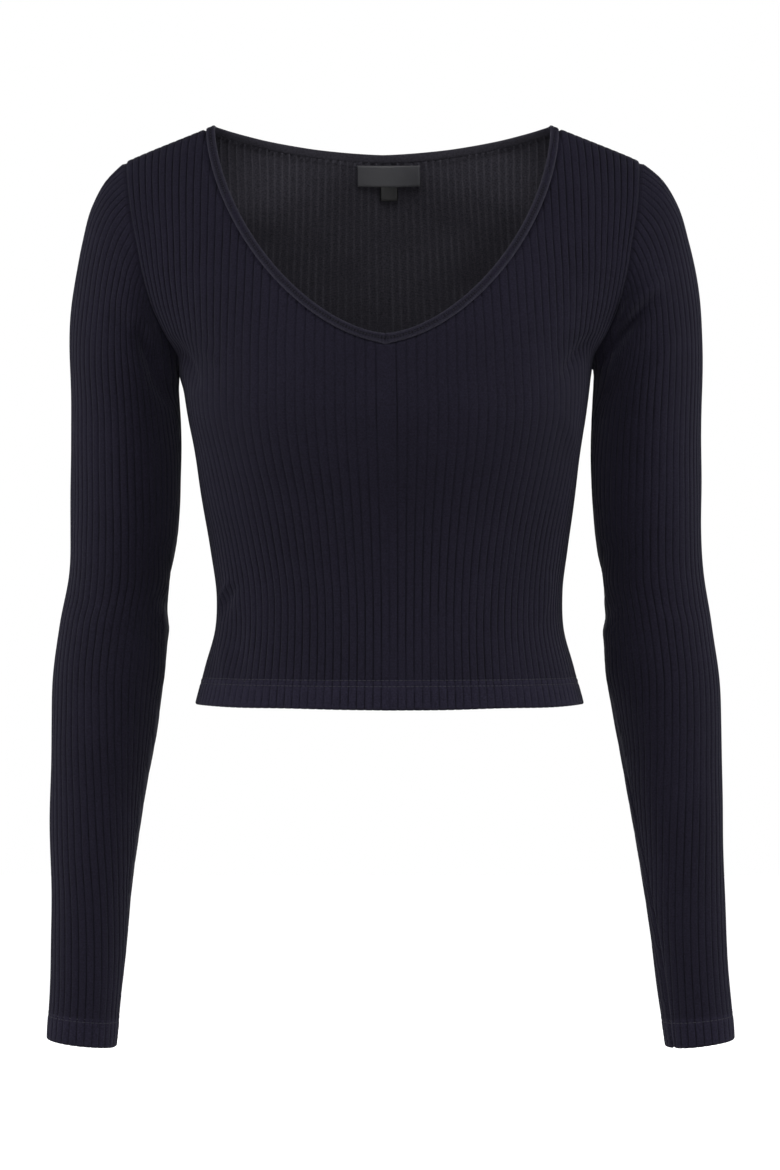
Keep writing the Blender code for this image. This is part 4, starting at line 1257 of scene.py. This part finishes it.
# %% Band along the neckline
BAND_WALL = 0.0024
BAND_SINK = 0.0007           # the band's middle lies this far inside the face of the panels
BAND_FULL = 2.6              # exponent of the section: 2 is an ellipse, more is squarer
BAND_CHANNEL = 0.00045
CHANNEL_REACH = 0.0010
MITRE_DENT = 0.0007
MITRE_REACH = 0.0008
MITRE_POINT = 0.0016         # the band's outer edge comes to a point, this much lower
MITRE_TAPER = 0.0045
TIP_FROM = -0.001            # the point is drawn out from here to the outer edge
SECTION = 24                 # points round the section
FINE_RUN = 0.014             # rings are close together this far from the point of the V
FINE_STEP = 0.0004
COARSE_RINGS = 190           # in the rest of one side


def signed_power(value, power):
    """The power of the value's size, with the value's sign."""
    return np.sign(value) * np.abs(value) ** power


def closed_strip(name, rings, uv_across, uv_along, material):
    """A tube that closes both ways, from rings of points. The knit's coordinates go on past the join."""
    rows, columns = rings.shape[:2]
    points = np.concatenate([rings, rings[:1]])
    points = np.concatenate([points, points[:, :1]], axis=1)
    row = np.arange(rows + 1)[:, None] % rows
    index = row * (columns + 1) + np.arange(columns + 1)[None, :] % columns
    uv = np.stack(np.broadcast_arrays(uv_across[None, :], uv_along[:, None]), axis=-1)
    middle = points[:, :-1].mean(axis=1, keepdims=True)
    return knit_mesh(name, points, uv, material, index, points - middle)


def make_band():
    """Middle point plus half width times a power of cosine sideways, and half wall times a power of sine
    along the normal, with the channel, the mitre and the point of the V added. Beside the piece come the
    bottom of the channel and the normals along it."""
    fine, coarse = np.arange(0, FINE_RUN, FINE_STEP), np.linspace(FINE_RUN, NECK_LENGTH / 2, COARSE_RINGS)
    half = np.concatenate([fine, coarse])
    run = np.concatenate([half, NECK_LENGTH - half[-2:0:-1]])

    def along(values):
        """Values of the closed neckline, read at the rings of the band."""
        return at_runs(run, np.append(neck_run, NECK_LENGTH), np.concatenate([values, values[:1]]))

    points, normals = along(neck_points), along(neck_normals)
    tangent = along(np.roll(neck_points, -2, axis=0) - np.roll(neck_points, 2, axis=0))
    tangent[0] = (1, 0, 0)                   # level at the point of the V, where two ways meet
    tangent = unit(tangent)
    sideways = unit(np.cross(tangent, normals))
    sideways *= -np.sign(sideways[0, 2])
    normals = np.cross(sideways, tangent)
    normals *= np.sign((normals * along(neck_normals)).sum())
    angle = np.linspace(0, 2 * np.pi, SECTION, endpoint=False)
    aside = BINDING_WIDTH / 2 * signed_power(np.cos(angle), 2 / BAND_FULL)
    above = BAND_WALL / 2 * signed_power(np.sin(angle), 2 / BAND_FULL)
    upper = smooth_step(0, BAND_WALL / 4, above)
    above = above - upper * BAND_CHANNEL * bell(aside, CHANNEL_REACH)
    from_point = np.minimum(run, NECK_LENGTH - run)[:, None]
    height = above[None, :] - MITRE_DENT * bell(from_point, MITRE_REACH) * upper[None, :] - BAND_SINK
    tip = MITRE_POINT * np.exp(-from_point / MITRE_TAPER) * smooth_step(TIP_FROM, BINDING_WIDTH / 2, aside)
    width = aside[None, :] + tip
    rings = points[:, None] + sideways[:, None] * width[..., None] + normals[:, None] * height[..., None]
    across = np.linspace(0, BAND_ROUND, SECTION + 1)
    band = closed_strip("neck_band", rings, across, np.append(run, NECK_LENGTH), band_knit)
    return band, points + normals * (BAND_WALL / 2 - BAND_CHANNEL - BAND_SINK), normals


neck_band, channel, channel_normals = make_band()

# %% [markdown]
# ## Stitches
#
# Hem, cuffs and band are held by small stitches. One is a short capsule of six-sided rings, laid along
# the path of its row, and all rows of an edge are one mesh.

# %% Rows of stitches
STITCH_PITCH = 0.0031
STITCH_LENGTH = 0.0025
STITCH_RADIUS = 0.00023
STITCH_LIFT = 0.0001
STITCH_DROOP = 2.5           # its ends bend into the cloth by a quarter of this many radii
CAPSULE = np.array((
    # place along the stitch, radius of the ring, as shares
    (-0.50, 0.35),
    (-0.40, 0.85),
    (0.00, 1.00),
    (0.40, 0.85),
    (0.50, 0.35),
))
SIDES = 6
HEXAGON = np.array(((0, 1, 2, 3), (0, 3, 4, 5)))     # the corners of a capsule's end, as two faces
EDGE_THREAD = (0.0320, 0.0310, 0.0410)       # hem and cuffs
BAND_THREAD = (0.0110, 0.0104, 0.0165)
TWIST_PITCH = 0.0002
TWIST_SHADE = 0.6            # the dark side of the twist, as a share of the thread's colour


def thread_material(name, thread):
    """Twisted thread: fine slanting bands along the stitch, from its own coordinates."""
    shader = Shader(name)
    across, along, _ = shader.parts(shader.node("ShaderNodeUVMap", {"uv_map": "knit"}))
    twist = ((across + along * (1.0 / TWIST_PITCH)) * math.tau).sine() * 0.5 + 0.5
    colour = shader.mix(twist, thread, tuple(c * TWIST_SHADE for c in thread))
    height = shader.node("ShaderNodeBump", {}, Strength=0.5, Distance=0.0001, Height=twist)
    return shader.finish(Base_Color=colour, Roughness=0.7, Specular_IOR_Level=0.15, Normal=height)


edge_thread = thread_material("edge_thread", EDGE_THREAD)
band_thread = thread_material("band_thread", BAND_THREAD)


def even_places(path, pitch):
    """Middles and directions at an even pitch along a path of points, and where they are on it."""
    run = run_along(path)
    count = int(run[-1] / pitch)
    at = (np.arange(count) + 0.5) * run[-1] / count
    way = at_runs(at + pitch / 4, run, path) - at_runs(at - pitch / 4, run, path)
    return at_runs(at, run, path), unit(way), at / run[-1]


def capsule_faces(count):
    """The faces of so many capsules, whose points follow one another ring by ring: four-sided between
    two rings, and two for each end."""
    rings = len(CAPSULE)
    ring, step = np.arange(rings - 1)[:, None] * SIDES, np.arange(SIDES)[None, :]
    ahead = (step + 1) % SIDES
    quads = np.stack([ring + step, ring + SIDES + step, ring + SIDES + ahead, ring + ahead], axis=-1)
    far_end = np.roll(HEXAGON[:, ::-1], 1, axis=1) + (rings - 1) * SIDES
    one = np.concatenate([quads.reshape(-1, 4), HEXAGON, far_end])
    return (one[None] + np.arange(count)[:, None, None] * rings * SIDES).reshape(-1, 4)


def stitch_rows(name, rows, thread):
    """All stitches of some rows as one mesh. A row is a path and the normals along it."""
    stitches = []
    for path, normals in rows:
        place, way, share = even_places(path, STITCH_PITCH)
        stitches.append((place, way, at_runs(share, np.linspace(0, 1, len(normals)), normals)))
    place, way, up = (np.concatenate(a)[:, None, None] for a in zip(*stitches))
    side = unit(np.cross(way, up))
    up = np.cross(side, way)
    along = CAPSULE[None, :, None, :1] * STITCH_LENGTH
    radius = CAPSULE[None, :, None, 1:] * STITCH_RADIUS
    angle = (np.arange(SIDES) * math.tau / SIDES)[None, None, :, None]
    droop = up * (along / STITCH_LENGTH) ** 2 * STITCH_RADIUS * STITCH_DROOP
    points = place + way * along + (side * np.cos(angle) + up * np.sin(angle)) * radius - droop
    faces = capsule_faces(len(points))
    mesh = bpy.data.meshes.new(name)
    mesh.from_pydata(points.reshape(-1, 3), [], faces.tolist())
    corner = faces.ravel()
    around, ring = corner % SIDES / SIDES, corner // SIDES % len(CAPSULE)
    uv = np.stack([around, ring * STITCH_LENGTH / (len(CAPSULE) - 1)], axis=1)
    mesh.uv_layers.new(name="knit").data.foreach_set("uv", uv.ravel())
    print(f"{name}: {len(points)} stitches")
    return smooth_piece(name, mesh, thread)


def row_on_face(face, height):
    """The path at a height above the folded edge, just off the face of a piece, and its normals."""
    points, normals, heights = face
    row = np.abs(heights - height).argmin()
    return points[row] + normals[row] * STITCH_LIFT, normals[row]


hem_rows = [row_on_face(face, at) for face in (front_face, back_face) for at in BODY_STITCHES]
hem_stitches = stitch_rows("hem_stitches", hem_rows, edge_thread)
cuff_left_stitches, cuff_right_stitches = (
    stitch_rows(name, [row_on_face(face, CUFF_STITCHES[0])], edge_thread)
    for name, face in (("cuff_left_stitches", sleeve_left_face), ("cuff_right_stitches", sleeve_right_face))
)
band_row = [np.concatenate([row, row[:1]]) for row in (channel, channel_normals)]
band_stitches = stitch_rows("band_stitches", [band_row], band_thread)

# %% [markdown]
# ## The label and the tab
#
# A woven satin label is sewn inside the back of the neck, with a small tab under it. Both are bare here.
# Each is a patch of the back panel moved in through the cloth, a little crowned between its ends.

# %% Label and tab
LABEL_SIZE = (0.045, 0.0145)
TAB_SIZE = (0.0130, 0.0106)
LABEL_SHIFT = 0.0040         # sewn a little to one side
LABEL_TOP_DROP = 0.0218      # its top edge, below the neck points
LABEL_INSET = 0.0021         # from the outer face of the back
TAB_INSET = 0.0018
TAB_OVERLAP = 0.001          # the tab's top edge is this far up under the label
LABEL_WALL = 0.0005
LABEL_CROWN = 0.0006         # rise of its middle off the cloth
TAB_CROWN = 0.0003
SEWN_CROWN = 0.2             # the share of it at the top edge, which is sewn down
PATCH_STEP = 0.0012
LEAST_POINTS = (9, 7)        # across a patch and down it
THREAD_PITCH = 0.00035       # of the satin's threads, one above the other
WEFT_PITCH = 0.0009          # of the ties across them
WEFT_SHARE = 0.3


def satin_material(name, dark, light):
    """Fine threads across the patch, some lighter, with a soft gloss."""
    shader = Shader(name)
    across, along, _ = shader.parts(shader.node("ShaderNodeUVMap", {"uv_map": "knit"}))
    threads = (along * (math.tau / THREAD_PITCH)).sine() * 0.5 + 0.5
    weft = (across * (math.tau / WEFT_PITCH)).sine() * 0.5 + 0.5
    colour = shader.mix(threads, dark, light)
    woven = threads + weft * WEFT_SHARE
    height = shader.node("ShaderNodeBump", {}, Strength=0.35, Distance=0.00008, Height=woven)
    return shader.finish(Base_Color=colour, Roughness=0.42, Specular_IOR_Level=0.30, Normal=height)


label_satin = satin_material("label_satin", (0.024, 0.024, 0.028), (0.035, 0.035, 0.040))
tab_satin = satin_material("tab_satin", (0.0045, 0.0045, 0.0050), (0.0075, 0.0075, 0.0082))


def make_patch(name, size, top_drop, inset, crown, satin):
    """A patch of the back's face, level across, with its depth smoothed by the parabola of least squares
    and moved in along the mean normal. The crown is a half sine across it and rises off the cloth."""
    width, height = size
    columns, rows = (max(least, int(way / PATCH_STEP)) for way, least in zip(size, LEAST_POINTS))
    x = np.linspace(-width / 2, width / 2, columns)[None, :] + LABEL_SHIFT + np.zeros((rows, 1))
    drop = np.linspace(top_drop + height, top_drop, rows)[:, None] + np.zeros((1, columns))
    u, v = place_on_body(np.abs(x), drop, True)
    u = np.where(x < 0, -u, u)
    normal = unit(face_normals(u, v, True).mean(axis=(0, 1)))
    face = body_point(u, v, True)
    terms = np.stack([np.ones_like(x), x, x**2, drop, drop * x**2], axis=-1)
    flat_terms = terms.reshape(-1, terms.shape[-1])
    face[..., 1] = terms @ np.linalg.lstsq(flat_terms, face[..., 1].ravel(), rcond=None)[0]
    arch = np.sin(np.pi * np.linspace(0, 1, columns))[None, :]
    rise = crown * arch * np.linspace(1, SEWN_CROWN, rows)[:, None]
    points = face - normal * (inset + rise)[..., None]
    uv = np.stack([x, drop], axis=-1)
    piece = knit_mesh(name, points, uv, satin, outward=-normal + 0 * points)
    wall = piece.modifiers.new("wall", "SOLIDIFY")
    wall.thickness = LABEL_WALL
    wall.offset = 0
    return piece


woven_label = make_patch("woven_label", LABEL_SIZE, LABEL_TOP_DROP, LABEL_INSET, LABEL_CROWN, label_satin)
tab_top_drop = LABEL_TOP_DROP + LABEL_SIZE[1] - TAB_OVERLAP
woven_tab = make_patch("woven_tab", TAB_SIZE, tab_top_drop, TAB_INSET, TAB_CROWN, tab_satin)

# %% [markdown]
# ## What stands for what
#
# Every piece rides on the one body of the frame, and the CAD solid that it replaces is hidden. The table
# also lists a finish slot and, as each is a sheet of cloth, its flat cut: width, length and area as they
# were before sewing, with the turned-up hem; the code makes no further use of these.

# %% Pieces in the frame
stitched = {"front_knit": [hem_stitches], "sleeve_left_knit": [cuff_left_stitches],
            "sleeve_right_knit": [cuff_right_stitches], "neck_band": [band_stitches]}
plan = (
    # piece, CAD node, slot, width, length, area
    (front, "front_panel", "rib_knit", 0.46, 0.43, 0.135),
    (back, "back_panel", "rib_knit", 0.44, 0.47, 0.165),
    (sleeve_left, "sleeve_left", "rib_knit", 0.30, 0.64, 0.150),
    (sleeve_right, "sleeve_right", "rib_knit", 0.30, 0.64, 0.150),
    (neck_band, "neck_binding", "binding_knit", 0.010, 0.72, 0.0062),
    (woven_label, "neck_label", "label_satin", *LABEL_SIZE, None),
    (woven_tab, "size_tab", "label_satin", *TAB_SIZE, None),
)
for piece, node, finish, width, length, area in plan:
    for rider in [piece, *stitched.get(piece.name, [])]:
        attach(rider, "root")
    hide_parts(node)
    held = "stretched" if finish != "label_satin" else "laid"

# %% [markdown]
# ## The studio
#
# Dark cloth on white needs light from all round. A large soft light above and a smaller one below the
# waist model the bust and the sleeves from the front, one on each side keeps the outer edges from going
# black, and one behind lights the back. The room's white is mostly for the camera to see, and little of
# it lights the cloth. The camera stands level, 2.8 m in front, with a long lens.

# %% Camera, lights and floor
CAMERA_PLACE = (0.0053, -2.8, -0.3097)
LENS = 123.0                 # millimetres, as is the sensor's width
SENSOR_WIDTH = 36
WHITE = (1.0, 1.0, 1.0, 1.0)
SURROUND = 0.05              # light from the white room, against what the camera sees of it
LIGHTS = (
    # name, place, target, size, power
    ("key_above", (-0.1, -2.1, 1.8), (0, 0, -0.25), 1.3, 51),
    ("fill_front", (0.0, -2.3, -0.6), (0, 0, -0.40), 0.9, 17),
    ("side_left", (-1.9, -0.55, 0.0), (-0.1, 0, -0.35), 1.2, 30),
    ("side_right", (1.9, -0.6, 0.2), (0.1, 0, -0.35), 1.2, 32),
    ("behind", (0.2, 2.4, 0.9), (0, 0, -0.30), 1.6, 52),
)


def add_light(name, place, target, size, power):
    """A square soft light that faces the target."""
    light = bpy.data.lights.new(name, "AREA")
    light.size = size
    light.energy = power
    lamp = bpy.data.objects.new(name, light)
    bpy.context.scene.collection.objects.link(lamp)
    lamp.location = place
    way = np.subtract(target, place)
    lamp.rotation_euler = (math.atan2(math.hypot(way[0], way[1]), -way[2]), 0, math.atan2(-way[0], way[1]))


for light in LIGHTS:
    add_light(*light)

camera = bpy.data.cameras.new("camera")
camera.sensor_width = SENSOR_WIDTH
camera.lens = LENS
camera_object = bpy.data.objects.new("camera", camera)
bpy.context.scene.collection.objects.link(camera_object)
camera_object.location = CAMERA_PLACE
camera_object.rotation_euler = (math.pi / 2, 0, 0)
bpy.context.scene.camera = camera_object

world = bpy.data.worlds.new("studio")
bpy.context.scene.world = world
world.use_nodes = True
sky = world.node_tree
background = sky.nodes["Background"]
shade = sky.nodes.new("ShaderNodeBackground")
for lit, strength in ((background, 1.0), (shade, SURROUND)):
    lit.inputs["Color"].default_value = WHITE
    lit.inputs["Strength"].default_value = strength
seen = sky.nodes.new("ShaderNodeLightPath")
choice = sky.nodes.new("ShaderNodeMixShader")
sky.links.new(seen.outputs["Is Camera Ray"], choice.inputs[0])
sky.links.new(shade.outputs[0], choice.inputs[1])
sky.links.new(background.outputs[0], choice.inputs[2])
sky.links.new(choice.outputs[0], sky.nodes["World Output"].inputs["Surface"])
bpy.context.scene.view_settings.view_transform = "Standard"

# %% Floor
FLOOR_Z = -0.95
FLOOR_SIDE = np.linspace(-6, 6, 7)
floor_shader = Shader("pale_floor")
floor_place = floor_shader.node("ShaderNodeTexCoord", output="Object")
floor_cloud = floor_shader.node("ShaderNodeTexNoise", {}, floor_place, Scale=3.0, Detail=2.0)
floor_tone = floor_shader.mix(floor_cloud, (0.93, 0.93, 0.93), (0.95, 0.95, 0.95))
pale_floor = floor_shader.finish(Base_Color=floor_tone, Roughness=0.9, Specular_IOR_Level=0.1)
floor_shader.feed(floor_shader.surface.inputs["Emission Color"], WHITE)
floor_shader.feed(floor_shader.surface.inputs["Emission Strength"], 1.0)
floor_x, floor_y = np.meshgrid(FLOOR_SIDE, FLOOR_SIDE)
floor_points = np.stack([floor_x, floor_y, np.full_like(floor_x, FLOOR_Z)], axis=-1)
floor_up = np.zeros(floor_points.shape) + (0, 0, 1)
floor = knit_mesh("floor", floor_points, floor_points[..., :2], pale_floor, outward=floor_up)
floor.visible_diffuse = False        # it sends no light up under the cloth
